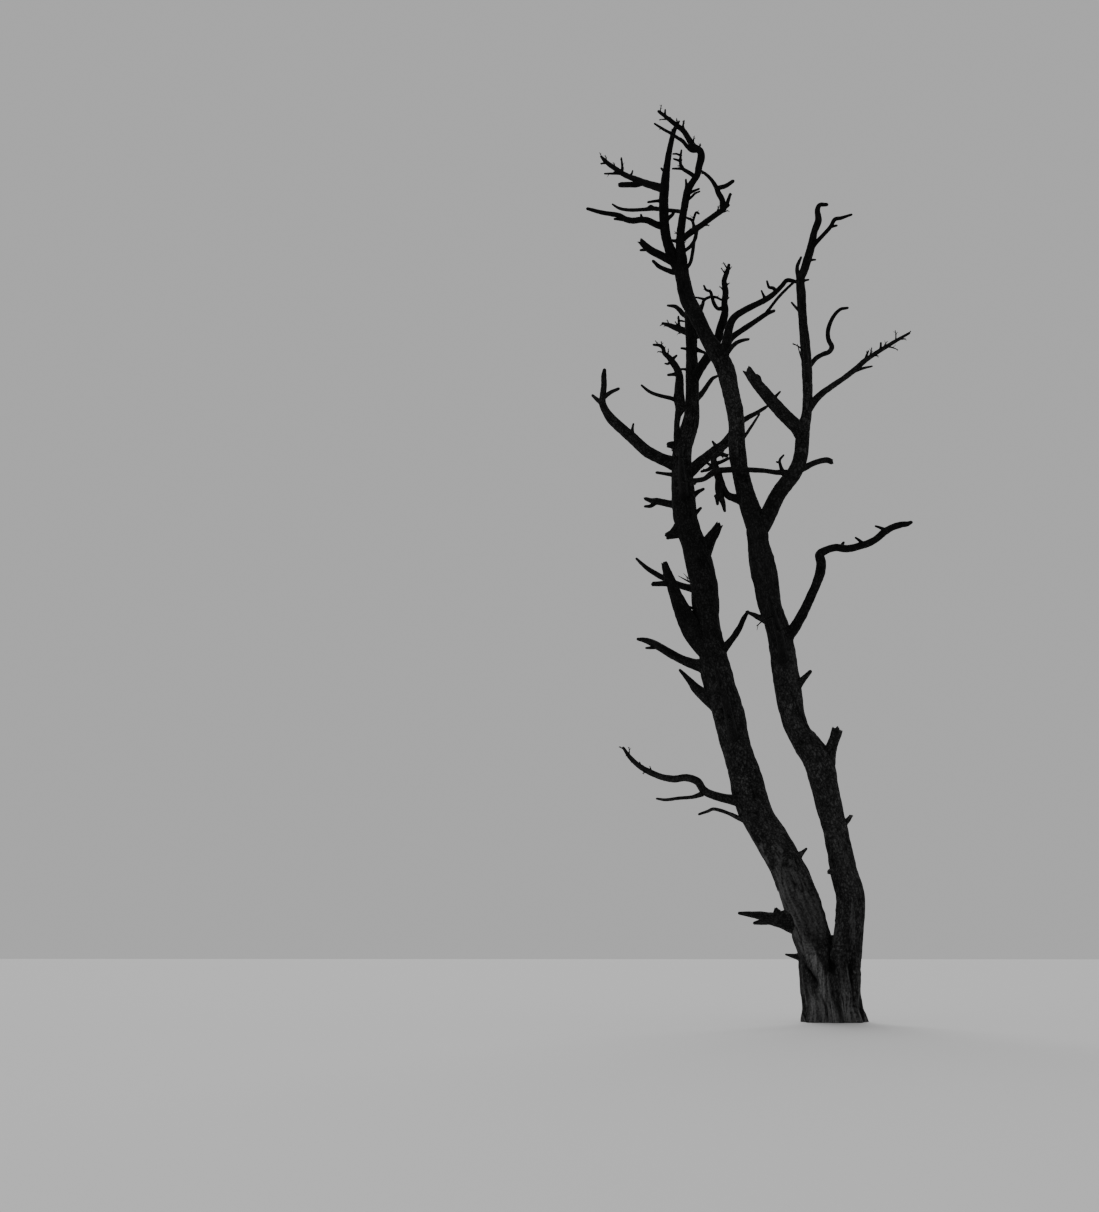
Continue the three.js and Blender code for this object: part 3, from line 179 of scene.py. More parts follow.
def limb(knots, teeth=0):
    """A limb from knots [across, up, behind, half width] in millimetres. Across and up lie on the
    upright plane through the foot, and behind carries the knot along the line from the eye: all its
    sizes grow by 1 + behind / the eye's distance."""
    across, up, behind, half = np.array(knots, float).T * MM
    grown = 1.0 - behind / EYE[1]
    points = np.stack([across * grown, behind, EYE[2] + (up - EYE[2]) * grown], axis=1)
    return Limb(points, half * grown, teeth)


taken = {"from": [], "to": [], "radius": [], "owner": []}


def claim(form, owner="limb", first=0, last=None):
    """Notes a limb's length as straight stretches from knot to knot, which twigs are kept clear of."""
    last = len(form.points) - 1 if last is None else last
    for i in range(first + 1, last + 1):
        taken["from"].append(form.points[i - 1])
        taken["to"].append(form.points[i])
        taken["radius"].append(max(form.radii[i - 1], form.radii[i]))
        taken["owner"].append(owner)


def stub(knots, teeth=0):
    """A short side piece, which takes its space as any limb does."""
    form = limb(knots, teeth)
    claim(form)
    return form


# Each finished piece: its limbs, each with the limb that carries it, its fine twigs, each with its
# level, and the nodes that it stands for
pieces = collections.defaultdict(lambda: dict(limbs=[], twigs=[], nodes=[]))


def grow(piece, nodes, form, parent=None, stubs=()):
    """Puts a limb, its side pieces and the nodes they stand for into a finished piece."""
    pieces[piece]["nodes"] += nodes
    pieces[piece]["limbs"] += [(form, parent)] + [(side_piece, form) for side_piece in stubs]


def bough(nodes, parent, form, stubs=(), last=None):
    """A bough on the limb that carries it. last is the knot from which it belongs to a mass."""
    claim(form, last=last)
    grow(BOUGHS_ON[parent], nodes, form, parent, stubs)


# The two stems, the limbs they divide into, and the two leaders of the top

left_stem = limb([
    [-30, -150, 30, 270], [-120, 600, 40, 262], [-245, 1240, 70, 258], [-382, 1660, 110, 258],
    [-562, 2180, 170, 240], [-756, 2510, 200, 236], [-924, 2820, 225, 220], [-1060, 3230, 260, 222],
    [-1205, 3820, 310, 216], [-1335, 4420, 370, 208], [-1510, 5120, 430, 208], [-1600, 5790, 480, 183],
    [-1645, 6400, 520, 186], [-1740, 6860, 555, 186], [-1870, 7260, 585, 177], [-1915, 7700, 610, 166],
    [-1935, 8050, 635, 152], [-1930, 8380, 655, 141], [-1870, 8660, 675, 129], [-1780, 8980, 690, 112],
    [-1748, 9350, 705, 94], [-1745, 9800, 720, 84], [-1738, 10280, 740, 80], [-1745, 10690, 760, 76],
], teeth=12)
right_stem = limb([
    [35, -150, -20, 265], [140, 600, -30, 250], [262, 1130, -50, 212], [318, 1650, -80, 183],
    [250, 2070, -110, 177], [175, 2510, -140, 171], [90, 2920, -165, 170], [30, 3270, -185, 179],
    [-45, 3600, -205, 196], [-185, 3870, -220, 192], [-320, 4100, -235, 168], [-410, 4420, -250, 172],
    [-450, 4800, -268, 177], [-490, 5200, -290, 179], [-560, 5600, -305, 176], [-645, 5920, -318, 165],
    [-710, 6300, -327, 176], [-760, 6650, -333, 174], [-800, 6960, -336, 154], [-825, 7250, -336, 161],
    [-870, 7430, -334, 127],
])
middle_limb = limb([
    [-815, 7120, -336, 134], [-900, 7480, -331, 150], [-985, 7790, -325, 125], [-1050, 8110, -320, 118],
    [-1075, 8440, -310, 122], [-1085, 8920, -290, 122], [-1125, 9250, -270, 122],
    [-1185, 9590, -245, 127], [-1250, 9830, -222, 131], [-1350, 10060, -200, 131],
    [-1478, 10290, -178, 110], [-1624, 10620, -150, 114], [-1775, 10970, -125, 112],
    [-1850, 11320, -100, 102], [-1885, 11560, -85, 100],
])
right_limb = limb([
    [-800, 7120, -336, 125], [-635, 7400, -362, 120], [-508, 7650, -390, 118], [-368, 7850, -410, 116],
    [-248, 8000, -425, 110], [-146, 8220, -445, 98], [-98, 8450, -468, 102], [-66, 8720, -495, 96],
    [-12, 8950, -515, 76], [18, 9300, -545, 72], [22, 9700, -578, 76], [8, 10100, -610, 68],
    [-8, 10500, -645, 64], [-20, 10950, -690, 66], [-22, 11180, -712, 60], [45, 11340, -728, 62],
    [150, 11660, -756, 56], [222, 11960, -782, 46], [292, 12150, -800, 52], [288, 12330, -812, 38],
    [330, 12420, -818, 32], [425, 12415, -822, 23],
])
left_leader = limb([
    [-1875, 11380, -88, 68], [-1985, 11690, -72, 84], [-2090, 12000, -55, 72], [-2138, 12350, -35, 70],
    [-2138, 12700, -15, 68], [-2115, 12950, 0, 64], [-2085, 13250, 18, 50], [-2045, 13500, 32, 45],
    [-1995, 13750, 46, 41], [-1955, 13920, 56, 36], [-1900, 14050, 64, 24],
])
right_leader = limb([
    [-1870, 11380, -95, 78], [-1868, 11680, -130, 80], [-1878, 12050, -190, 64],
    [-1845, 12350, -240, 60], [-1800, 12610, -285, 58], [-1745, 12870, -330, 56],
    [-1655, 13020, -355, 50], [-1585, 13130, -370, 48], [-1550, 13290, -390, 54],
    [-1518, 13430, -405, 58], [-1532, 13550, -420, 53], [-1640, 13650, -440, 48],
    [-1720, 13810, -465, 43], [-1790, 13940, -490, 40], [-1890, 14042, -510, 38],
    [-2030, 14180, -540, 32], [-2180, 14325, -570, 22],
])
RIGHT_LEADER_SPLIT = 9
for stem in (left_stem, right_stem, middle_limb, right_limb, left_leader):
    claim(stem)
claim(right_leader, last=RIGHT_LEADER_SPLIT)

BOUGHS_ON = {left_stem: "left_boughs", right_stem: "right_boughs", middle_limb: "right_boughs",
             right_limb: "right_boughs", left_leader: "leader_boughs", right_leader: "leader_boughs"}

grow("left_stem_bark", ["left_stem_low", "left_stem_middle", "left_stem_top"], left_stem, None, [
    stub([[-930, 2740, 225, 42], [-1165, 2815, 190, 34], [-1350, 2905, 130, 26], [-1560, 2975, 60, 23],
          [-1665, 2942, 10, 21], [-1780, 2905, -30, 16]]),
    stub([[-420, 2260, 150, 48], [-330, 2330, 130, 32], [-275, 2380, 118, 16]]),
    stub([[-1720, 6700, 540, 127], [-1610, 6900, 520, 108], [-1530, 7040, 490, 86],
          [-1450, 7160, 460, 70], [-1385, 7265, 430, 52]], 6),
    stub([[-1900, 7330, 590, 78], [-2060, 7180, 575, 78], [-2180, 7130, 560, 54]], 5),
    stub([[-1790, 7730, 600, 40], [-1700, 7800, 580, 34], [-1620, 7842, 560, 21]]),
    stub([[-1790, 7460, 590, 38], [-1730, 7480, 580, 32], [-1668, 7535, 560, 21]]),
    stub([[-1950, 8090, 630, 34], [-2120, 8112, 600, 30], [-2310, 8150, 560, 21]]),
    stub([[-1745, 9800, 715, 24], [-1840, 9815, 690, 22], [-1900, 9822, 660, 17]]),
    stub([[-1740, 10130, 730, 24], [-1830, 10155, 700, 22], [-1890, 10170, 680, 17]]),
    stub([[-1740, 10640, 757, 48], [-1790, 10692, 790, 40], [-1865, 10745, 850, 37],
          [-1925, 10830, 905, 34], [-1990, 10885, 960, 30], [-2095, 10908, 1030, 16]]),
    stub([[-1735, 10385, 745, 36], [-1660, 10352, 745, 31], [-1590, 10335, 745, 23]]),
    stub([[-1740, 10180, 736, 36], [-1660, 10130, 736, 32], [-1600, 10100, 736, 28],
          [-1548, 10075, 736, 20]]),
    stub([[-1735, 10440, 748, 40], [-1650, 10462, 748, 40], [-1600, 10500, 748, 34]]),
])

grow("right_stem_bark", ["right_stem_low", "right_stem_top"], right_stem, None, [
    stub([[120, 2080, -110, 48], [55, 2060, -120, 38], [30, 2062, -125, 26]], 5),
    stub([[200, 2680, -150, 52], [325, 2775, -180, 36], [382, 2845, -195, 24]], 5),
    stub([[10, 3420, -195, 104], [95, 3670, -215, 88], [160, 3860, -235, 71], [212, 4000, -250, 70],
          [236, 4085, -260, 74]], 6),
    stub([[-440, 4640, -265, 60], [-310, 4755, -300, 54], [-215, 4855, -330, 42], [-122, 4948, -355, 26]]),
    stub([[-640, 5740, -310, 54], [-815, 5795, -320, 43], [-910, 5850, -330, 32],
          [-1000, 5890, -340, 19]]),
])

grow("limbs_bark", ["middle_limb_low", "middle_limb_top"], middle_limb, right_stem, [
    stub([[-1080, 8540, -305, 28], [-970, 8640, -260, 22], [-850, 8812, -200, 21],
          [-730, 8992, -140, 15]]),
])

bough([], middle_limb, limb([
    [-1262, 9935, -220, 42], [-1150, 10090, -380, 36], [-1050, 10190, -490, 32],
    [-960, 10228, -560, 28], [-860, 10242, -640, 19],
]))

grow("limbs_bark", ["right_limb_low", "right_limb_top"], right_limb, right_stem, [
    stub([[-30, 11160, -710, 38], [-62, 11290, -700, 30], [-60, 11400, -690, 27],
          [-30, 11480, -685, 24], [0, 11545, -680, 16]]),
    stub([[-30, 10640, -655, 26], [-90, 10692, -670, 21], [-165, 10795, -690, 14]]),
    stub([[80, 11470, -735, 28], [150, 11492, -750, 22], [212, 11492, -765, 15]]),
    stub([[-10, 11140, -700, 26], [50, 11156, -720, 20], [95, 11162, -730, 14]]),
])

grow("leaders_bark", ["left_leader"], left_leader, middle_limb, [
    stub([[-1950, 11480, -75, 46], [-2010, 11475, -60, 40], [-2120, 11525, -30, 34],
          [-2230, 11592, 0, 32], [-2312, 11680, 20, 24]]),
    stub([[-2110, 12360, -50, 34], [-2060, 12420, -90, 30], [-2000, 12470, -120, 26],
          [-1965, 12535, -140, 18]]),
    stub([[-2138, 12730, -15, 28], [-2260, 12735, -40, 24], [-2375, 12728, -60, 18]]),
    stub([[-2085, 13240, 18, 24], [-2130, 13265, 10, 20], [-2160, 13300, 0, 14]]),
])

grow("leaders_bark", ["right_leader"], right_leader, middle_limb, [
    stub([[-1878, 12000, -185, 34], [-1960, 12008, -175, 28], [-2010, 12022, -170, 20]]),
    stub([[-1770, 12780, -320, 30], [-1765, 12950, -350, 22], [-1770, 13055, -370, 16]]),
    stub([[-1745, 12820, -325, 30], [-1660, 12850, -380, 23], [-1572, 12880, -430, 16]]),
    stub([[-1785, 12690, -305, 24], [-1700, 12740, -350, 21], [-1630, 12805, -390, 19],
          [-1562, 12832, -420, 14]]),
])

# Boughs of the left stem

bough(["spike_bough"], left_stem, limb([
    [-300, 1350, 90, 127], [-560, 1382, 40, 120], [-780, 1408, -20, 84], [-940, 1452, -60, 52],
    [-1110, 1474, -95, 34], [-1240, 1488, -120, 16],
]), stubs=[
    stub([[-800, 1395, -20, 66], [-930, 1366, -10, 42], [-1025, 1350, 0, 19]]),
    stub([[-715, 1430, 0, 48], [-706, 1530, 0, 40]], 5),
])

low_left_bough = limb([
    [-1010, 3030, 242, 76], [-1230, 3085, 180, 70], [-1420, 3132, 110, 66], [-1580, 3180, 50, 60],
    [-1710, 3250, 0, 56], [-1800, 3380, -45, 56], [-1960, 3440, -110, 52], [-2140, 3425, -190, 48],
    [-2330, 3460, -290, 45], [-2500, 3535, -390, 43], [-2660, 3630, -480, 37], [-2790, 3755, -555, 30],
    [-2885, 3895, -610, 17],
])
bough(["low_left_bough"], left_stem, low_left_bough, last=8, stubs=[
    stub([[-1730, 3200, 0, 38], [-1880, 3155, 60, 26], [-2080, 3142, 150, 23], [-2270, 3122, 240, 22],
          [-2395, 3140, 300, 15]]),
])

bough(["left_spur"], left_stem, limb([
    [-1390, 4440, 380, 104], [-1630, 4610, 430, 92], [-1785, 4755, 480, 70], [-1890, 4890, 520, 44],
    [-2020, 5040, 560, 16],
]))

bough(["second_left_bough"], left_stem, limb([
    [-1520, 5040, 420, 92], [-1790, 5118, 520, 74], [-2040, 5228, 640, 63], [-2300, 5395, 790, 58],
    [-2440, 5480, 880, 54], [-2545, 5522, 950, 38], [-2640, 5540, 1010, 20],
]), stubs=[
    stub([[-2380, 5420, 840, 34], [-2450, 5402, 830, 24], [-2515, 5400, 820, 16]]),
])

bough(["left_spire"], left_stem, limb([
    [-1590, 5290, 440, 118], [-1770, 5540, 395, 132], [-1905, 5790, 340, 127], [-2000, 6010, 300, 108],
    [-2070, 6210, 272, 90], [-2130, 6400, 250, 76], [-2190, 6570, 232, 60], [-2225, 6700, 220, 42],
], teeth=6), stubs=[
    stub([[-2130, 6385, 250, 46], [-2270, 6384, 225, 42], [-2410, 6386, 200, 34]], 5),
    stub([[-1950, 5960, 320, 48], [-1870, 5990, 370, 34], [-1830, 5990, 400, 18]]),
])

bough(["crossing_bough"], left_stem, limb([
    [-1640, 6250, 515, 56], [-1850, 6296, 560, 52], [-2010, 6352, 620, 48], [-2160, 6432, 700, 45],
    [-2310, 6512, 770, 40], [-2460, 6612, 840, 34], [-2560, 6700, 890, 26], [-2648, 6790, 930, 16],
]))

bough(["third_left_bough"], left_stem, limb([
    [-1910, 7590, 600, 58], [-2100, 7628, 680, 52], [-2220, 7662, 760, 50], [-2330, 7690, 840, 52],
    [-2410, 7702, 900, 40], [-2500, 7742, 960, 26],
], teeth=6), stubs=[
    stub([[-2340, 7680, 845, 38], [-2420, 7622, 830, 30], [-2500, 7618, 800, 18]]),
])

big_left_bough = limb([
    [-1940, 8240, 648, 100], [-2100, 8300, 560, 96], [-2270, 8385, 440, 84], [-2450, 8490, 310, 84],
    [-2610, 8650, 180, 81], [-2760, 8810, 60, 81], [-2900, 8950, -60, 76], [-3030, 9090, -170, 71],
    [-3120, 9240, -260, 58], [-3160, 9360, -320, 54], [-3150, 9480, -365, 46], [-3132, 9640, -420, 42],
    [-3132, 9780, -460, 40], [-3122, 9880, -490, 26],
])
bough(["big_left_bough_inner", "big_left_bough_outer"], left_stem, big_left_bough, stubs=[
    stub([[-2690, 8740, 120, 28], [-2690, 8880, 100, 22], [-2675, 8960, 90, 14]]),
    stub([[-3150, 9330, -310, 42], [-3230, 9402, -280, 35], [-3305, 9475, -250, 21]]),
    stub([[-3150, 9430, -350, 40], [-3030, 9512, -430, 32], [-2912, 9562, -500, 24]]),
])

inner_left_bough = limb([
    [-1930, 8440, 645, 70], [-1985, 8640, 600, 54], [-1998, 8850, 560, 38], [-1978, 9040, 530, 42],
    [-1940, 9180, 515, 74], [-1957, 9350, 490, 82], [-1948, 9530, 450, 74], [-1940, 9700, 390, 58],
    [-1975, 9830, 320, 54], [-2035, 9940, 240, 50], [-2095, 10030, 170, 40], [-2168, 10110, 100, 33],
    [-2186, 10190, 50, 29], [-2240, 10245, 0, 24], [-2330, 10262, -60, 16],
])
bough(["inner_left_bough"], left_stem, inner_left_bough, last=9, stubs=[
    stub([[-1960, 9300, 490, 36], [-2080, 9352, 380, 30], [-2250, 9408, 220, 28],
          [-2350, 9448, 130, 26], [-2440, 9505, 40, 24], [-2530, 9592, -40, 16]]),
    stub([[-1960, 9740, 375, 32], [-2030, 9745, 340, 26], [-2105, 9742, 310, 19]]),
    stub([[-1970, 8560, 620, 66], [-2080, 8585, 590, 54], [-2142, 8592, 570, 38]], 5),
])

bough(["short_right_bough"], left_stem, limb([
    [-1748, 9260, 702, 48], [-1650, 9345, 790, 42], [-1570, 9435, 900, 38], [-1480, 9565, 1060, 34],
    [-1425, 9632, 1150, 30], [-1365, 9662, 1230, 19],
]))

bough(["lower_bridge"], left_stem, limb([
    [-1935, 8060, 640, 94], [-1800, 8148, 580, 82], [-1600, 8315, 470, 74], [-1410, 8455, 360, 70],
    [-1260, 8565, 270, 68], [-1160, 8690, 205, 62], [-1070, 8830, 150, 48], [-960, 8925, 95, 38],
    [-790, 9010, 20, 30], [-640, 9095, -60, 23],
]), stubs=[
    stub([[-1400, 8470, 360, 38], [-1415, 8540, 340, 28], [-1445, 8592, 320, 16]]),
    stub([[-660, 9080, -40, 22], [-600, 9120, -80, 18], [-520, 9130, -130, 13]]),
])

upper_bridge = limb([
    [-1746, 9470, 708, 72], [-1690, 9680, 660, 72], [-1600, 9840, 590, 70], [-1500, 9985, 510, 68],
    [-1400, 10120, 430, 66], [-1330, 10280, 370, 63], [-1290, 10440, 320, 60], [-1240, 10580, 285, 60],
    [-1207, 10730, 255, 54], [-1212, 10880, 232, 48], [-1188, 11060, 210, 46], [-1202, 11250, 190, 38],
    [-1152, 11410, 175, 32], [-1125, 11510, 165, 20],
])
bough(["upper_bridge"], left_stem, upper_bridge, last=8)

bough(["link_bough"], left_stem, limb([
    [-1560, 5200, 435, 66], [-1365, 5355, 400, 58], [-1245, 5485, 350, 46], [-1132, 5645, 290, 41],
    [-1062, 5785, 240, 34], [-998, 5888, 200, 20],
]))

# Boughs of the right stem and its two limbs

elbow_bough = limb([
    [-520, 5440, -300, 92], [-340, 5590, -420, 78], [-250, 5725, -520, 74], [-150, 5905, -640, 70],
    [-55, 6100, -750, 68], [28, 6285, -840, 68], [92, 6455, -910, 70], [112, 6600, -960, 70],
    [96, 6720, -1000, 64], [180, 6782, -1050, 54], [330, 6822, -1120, 52], [500, 6796, -1200, 56],
    [660, 6822, -1270, 52], [820, 6868, -1340, 52], [940, 6930, -1400, 50], [1060, 7030, -1450, 48],
    [1180, 7095, -1500, 46], [1300, 7128, -1550, 44], [1390, 7135, -1590, 36], [1440, 7152, -1610, 20],
])
bough(["elbow_bough_inner", "elbow_bough_outer"], right_stem, elbow_bough, stubs=[
    stub([[420, 6810, -1160, 32], [432, 6860, -1150, 24], [450, 6888, -1140, 16]]),
    stub([[740, 6850, -1310, 30], [690, 6912, -1330, 22], [640, 6955, -1350, 14]]),
    stub([[1080, 7050, -1460, 30], [1010, 7092, -1480, 22], [940, 7122, -1500, 14]]),
])

hanging_bough = limb([
    [-1010, 7640, -328, 64], [-1150, 7680, -390, 58], [-1240, 7725, -440, 54], [-1305, 7820, -480, 54],
    [-1350, 7940, -510, 60], [-1385, 8060, -535, 62], [-1415, 8160, -550, 58], [-1440, 8260, -540, 48],
    [-1430, 8350, -520, 40], [-1350, 8395, -490, 34], [-1255, 8365, -465, 26],
])
bough(["hanging_bough"], middle_limb, hanging_bough, last=6, stubs=[
    stub([[-1365, 7970, -510, 56], [-1378, 7860, -520, 56], [-1362, 7740, -530, 52],
          [-1320, 7620, -540, 38], [-1296, 7490, -550, 18]]),
    stub([[-1370, 7760, -530, 42], [-1405, 7700, -545, 36], [-1402, 7610, -555, 22]]),
    stub([[-1370, 7740, -530, 34], [-1436, 7722, -560, 24]], 4),
])

bough(["level_bough"], right_limb, limb([
    [-285, 8000, -425, 48], [-400, 8044, -470, 44], [-520, 8052, -510, 37], [-680, 8086, -545, 35],
    [-860, 8108, -570, 37], [-1050, 8128, -590, 40], [-1230, 8132, -625, 44], [-1390, 8128, -660, 48],
    [-1490, 8080, -690, 46], [-1590, 8012, -715, 38], [-1700, 7994, -735, 36], [-1785, 8004, -750, 23],
]), stubs=[
    stub([[-400, 8050, -470, 30], [-432, 8150, -450, 25], [-440, 8240, -430, 20], [-385, 8310, -415, 14]]),
    stub([[-430, 8195, -440, 20], [-480, 8212, -450, 14]]),
    stub([[-1720, 7990, -735, 32], [-1738, 7950, -740, 20]]),
])

bough(["blunt_right_bough"], right_limb, limb([
    [-230, 8060, -430, 56], [-80, 8098, -380, 46], [50, 8156, -280, 40], [170, 8192, -170, 40],
    [265, 8198, -90, 41], [335, 8166, -30, 37],
], teeth=6))

bough(["broken_right_bough"], right_limb, limb([
    [-88, 8600, -485, 100], [-170, 8760, -560, 100], [-310, 8925, -650, 94], [-480, 9140, -750, 91],
    [-650, 9360, -850, 84], [-790, 9560, -930, 75], [-885, 9730, -990, 70],
], teeth=6), stubs=[
    stub([[-510, 9220, -770, 28], [-455, 9285, -780, 22], [-405, 9335, -790, 14]]),
    stub([[-720, 9480, -890, 38], [-715, 9590, -900, 34], [-735, 9625, -905, 20]]),
])

long_right_bough = limb([
    [-10, 8990, -518, 66], [120, 9165, -570, 56], [250, 9285, -630, 48], [400, 9385, -700, 43],
    [600, 9515, -790, 41], [760, 9635, -860, 41], [880, 9740, -920, 39], [1010, 9830, -985, 35],
    [1160, 9920, -1060, 31], [1360, 10035, -1160, 27], [1575, 10152, -1260, 16],
])
bough(["long_right_bough"], right_limb, long_right_bough, last=6, stubs=[
    stub([[690, 9585, -825, 28], [860, 9634, -838, 21], [992, 9656, -855, 14]]),
])

bough(["curled_bough"], right_limb, limb([
    [20, 9690, -578, 42], [85, 9755, -510, 37], [170, 9852, -430, 34], [270, 9905, -350, 34],
    [370, 9942, -270, 35], [412, 10025, -200, 37], [372, 10130, -150, 33], [362, 10240, -110, 32],
    [392, 10380, -70, 30], [468, 10530, -30, 27], [565, 10625, 10, 25], [668, 10642, 40, 20],
]))

bough(["high_right_bough"], right_limb, limb([
    [165, 11690, -760, 38], [225, 11765, -810, 35], [330, 11870, -890, 31], [470, 12020, -990, 29],
    [545, 12145, -1060, 31], [650, 12165, -1130, 27], [800, 12205, -1220, 17],
]), stubs=[
    stub([[480, 12030, -1000, 28], [560, 12040, -1020, 18]]),
])

upper_cluster = limb([
    [-1260, 9960, -208, 78], [-1202, 10190, -300, 68], [-1166, 10370, -350, 62],
    [-1110, 10560, -400, 58], [-1010, 10672, -440, 54], [-800, 10780, -480, 48],
    [-570, 10885, -510, 44], [-410, 10995, -525, 38], [-305, 11100, -535, 34], [-226, 11180, -540, 32],
    [-102, 11148, -545, 27],
])
bough(["upper_cluster_bough"], middle_limb, upper_cluster, stubs=[
    stub([[-570, 10880, -510, 26], [-600, 10960, -530, 18], [-625, 11030, -545, 13]]),
    stub([[-400, 11000, -525, 32], [-445, 11065, -560, 26], [-510, 11090, -600, 22],
          [-535, 11185, -640, 14]]),
])

bough(["lower_cluster_bough"], middle_limb, limb([
    [-1255, 9990, -205, 62], [-1160, 10215, -110, 50], [-1070, 10320, -50, 46], [-900, 10430, 30, 42],
    [-720, 10545, 110, 39], [-570, 10640, 180, 34], [-455, 10682, 230, 22],
]), stubs=[
    stub([[-580, 10635, 175, 28], [-485, 10762, 195, 24], [-385, 10890, 215, 23],
          [-270, 11010, 235, 22], [-138, 11130, 250, 19]]),
])

# Boughs of the two leaders

leader_bough = limb([
    [-2115, 12930, 0, 68], [-2240, 12985, 90, 61], [-2400, 13055, 210, 56], [-2530, 13125, 310, 52],
    [-2660, 13192, 410, 44], [-2800, 13280, 520, 40], [-2900, 13365, 600, 38], [-3000, 13450, 680, 35],
    [-3080, 13530, 740, 31], [-3140, 13612, 790, 18],
])
bough(["upper_left_bough"], left_leader, leader_bough, last=4, stubs=[
    stub([[-2440, 13085, 240, 46], [-2580, 13062, 300, 44], [-2720, 13072, 350, 42],
          [-2830, 13080, 390, 38]], 5),
])

bough(["long_left_bough"], left_leader, limb([
    [-2136, 12270, -40, 60], [-2270, 12330, -130, 52], [-2390, 12405, -220, 50],
    [-2490, 12428, -300, 48], [-2630, 12425, -400, 46], [-2750, 12462, -490, 44],
    [-2830, 12520, -550, 41], [-2920, 12558, -620, 38], [-3060, 12594, -720, 35],
    [-3210, 12642, -830, 32], [-3365, 12702, -940, 23],
]), stubs=[
    stub([[-2760, 12466, -490, 34], [-2840, 12470, -530, 25], [-2925, 12482, -580, 17]]),
    stub([[-2490, 12430, -300, 30], [-2502, 12505, -310, 16]]),
])

bough(["thin_left_bough"], right_leader, limb([
    [-1822, 12500, -262, 30], [-1920, 12525, -60, 30], [-2040, 12548, 130, 30], [-2200, 12585, 300, 30],
    [-2330, 12612, 420, 36], [-2450, 12606, 520, 29], [-2620, 12612, 640, 27], [-2760, 12632, 740, 25],
    [-2870, 12672, 820, 22], [-2960, 12742, 880, 14],
]), stubs=[
    stub([[-2300, 12600, 400, 38], [-2345, 12650, 430, 28], [-2390, 12630, 450, 16]]),
])

bough(["short_left_bough"], left_leader, limb([
    [-2005, 11660, -72, 72], [-2190, 11775, -190, 64], [-2330, 11865, -280, 58],
    [-2430, 11955, -350, 56], [-2520, 12062, -410, 43],
], teeth=6), stubs=[
    stub([[-2400, 11920, -330, 32], [-2450, 11902, -350, 24], [-2510, 11898, -370, 17]]),
])


# Masses of bare twigs, by the seeded rule that the solids follow, carried on to finer twigs

def random_from(seed):
    """Repeatable numbers from 0 to 1: a 32-bit state that steps by a fixed odd number and is mixed."""
    low = 0xFFFFFFFF
    state = seed
    while True:
        state = (state + 0x6D2B79F5) & low
        mixed = (state ^ (state >> 15)) * (1 | state) & low
        mixed = (mixed + (((mixed ^ (mixed >> 7)) * (61 | mixed)) & low) & low) ^ mixed
        yield (mixed ^ (mixed >> 14)) / 2.0 ** 32


def others_than(owner):
    """Every noted stretch of another owner: its start, its run to the end, its half width, and the
    corners of the box that it keeps clear of the thickest twig."""
    others = np.array(taken["owner"]) != owner
    start, end = np.array(taken["from"])[others], np.array(taken["to"])[others]
    wide = np.array(taken["radius"])[others, None]
    room = wide + TWIGS["clear"] + TWIGS["thickest"]
    return start, end - start, wide[:, 0], np.minimum(start, end) - room, np.maximum(start, end) + room


def touches(points, radii, others):
    """Whether a twig comes too near any of the noted stretches: points close together along it are
    measured to each of those whose boxes it crosses."""
    near = (others[3] < points.max(0)).all(1) & (others[4] > points.min(0)).all(1)
    if not near.any():
        return False
    start, ahead, wide = (field[near] for field in others[:3])
    for i in range(1, len(points)):
        count = math.ceil(np.linalg.norm(points[i] - points[i - 1]) / TWIGS["stride"])
        share = np.linspace(0.0, 1.0, count + 1)[:, None]
        spots = points[i - 1] * (1 - share) + points[i] * share
        width = radii[i - 1] * (1 - share) + radii[i] * share
        along = np.einsum("psk,sk->ps", spots[:, None] - start, ahead) / (ahead ** 2).sum(1)
        foot = start + ahead * np.clip(along, 0.0, 1.0)[..., None]
        if (np.linalg.norm(spots[:, None] - foot, axis=2) < wide + width + TWIGS["clear"]).any():
            return True
    return False


def twigs_on(form, others, seed, count, reach, first, fan=1.0, level=0, space=None):
    """The seeded twigs along a limb, from one share of its length to its tip. Each has three points,
    leans out from the limb round a slow spiral, turns up a little and then aside. One that would touch
    another limb, or leave its mass's space, is skipped."""
    draw = random_from(seed)
    least, tip = THICKNESS[level]
    grown = []
    for i in range(count):
        share = first + (1 - first) * (i + TWIGS["scatter"] * next(draw)) / count
        turn = i * TWIGS["turn"] + TWIGS["wander"] * (next(draw) - 0.5)
        lean = TWIGS["lean_low"] + TWIGS["lean_spread"] * next(draw)
        length = reach * (TWIGS["shortest"] + (1 - TWIGS["shortest"]) * next(draw))
        length *= 1 - TWIGS["fade"] * share
        aside = np.array([next(draw), next(draw), next(draw)]) - 0.5
        root, along, side, cross, radius = form.at(share)
        outwards = (side * math.sin(turn) + cross * math.cos(turn)) * [fan, 1.0, 1.0]
        outwards /= np.linalg.norm(outwards)
        towards = along * math.cos(lean) + outwards * math.sin(lean) + [0.0, 0.0, TWIGS["lift"]]
        towards /= np.linalg.norm(towards)
        onwards = towards + aside * TWIGS["bend"]
        onwards /= np.linalg.norm(onwards)
        middle = root + towards * length / 2
        points = np.array([root, middle, middle + onwards * length / 2])
        thick = max(radius * TWIGS["root"], least)
        radii = np.array([thick, (thick + tip) / 2, tip])
        if space and ((points < space[0]).any() or (points > space[1]).any()):
            continue
        if not touches(points, radii, others):
            grown.append(Limb(points, radii))
    return grown


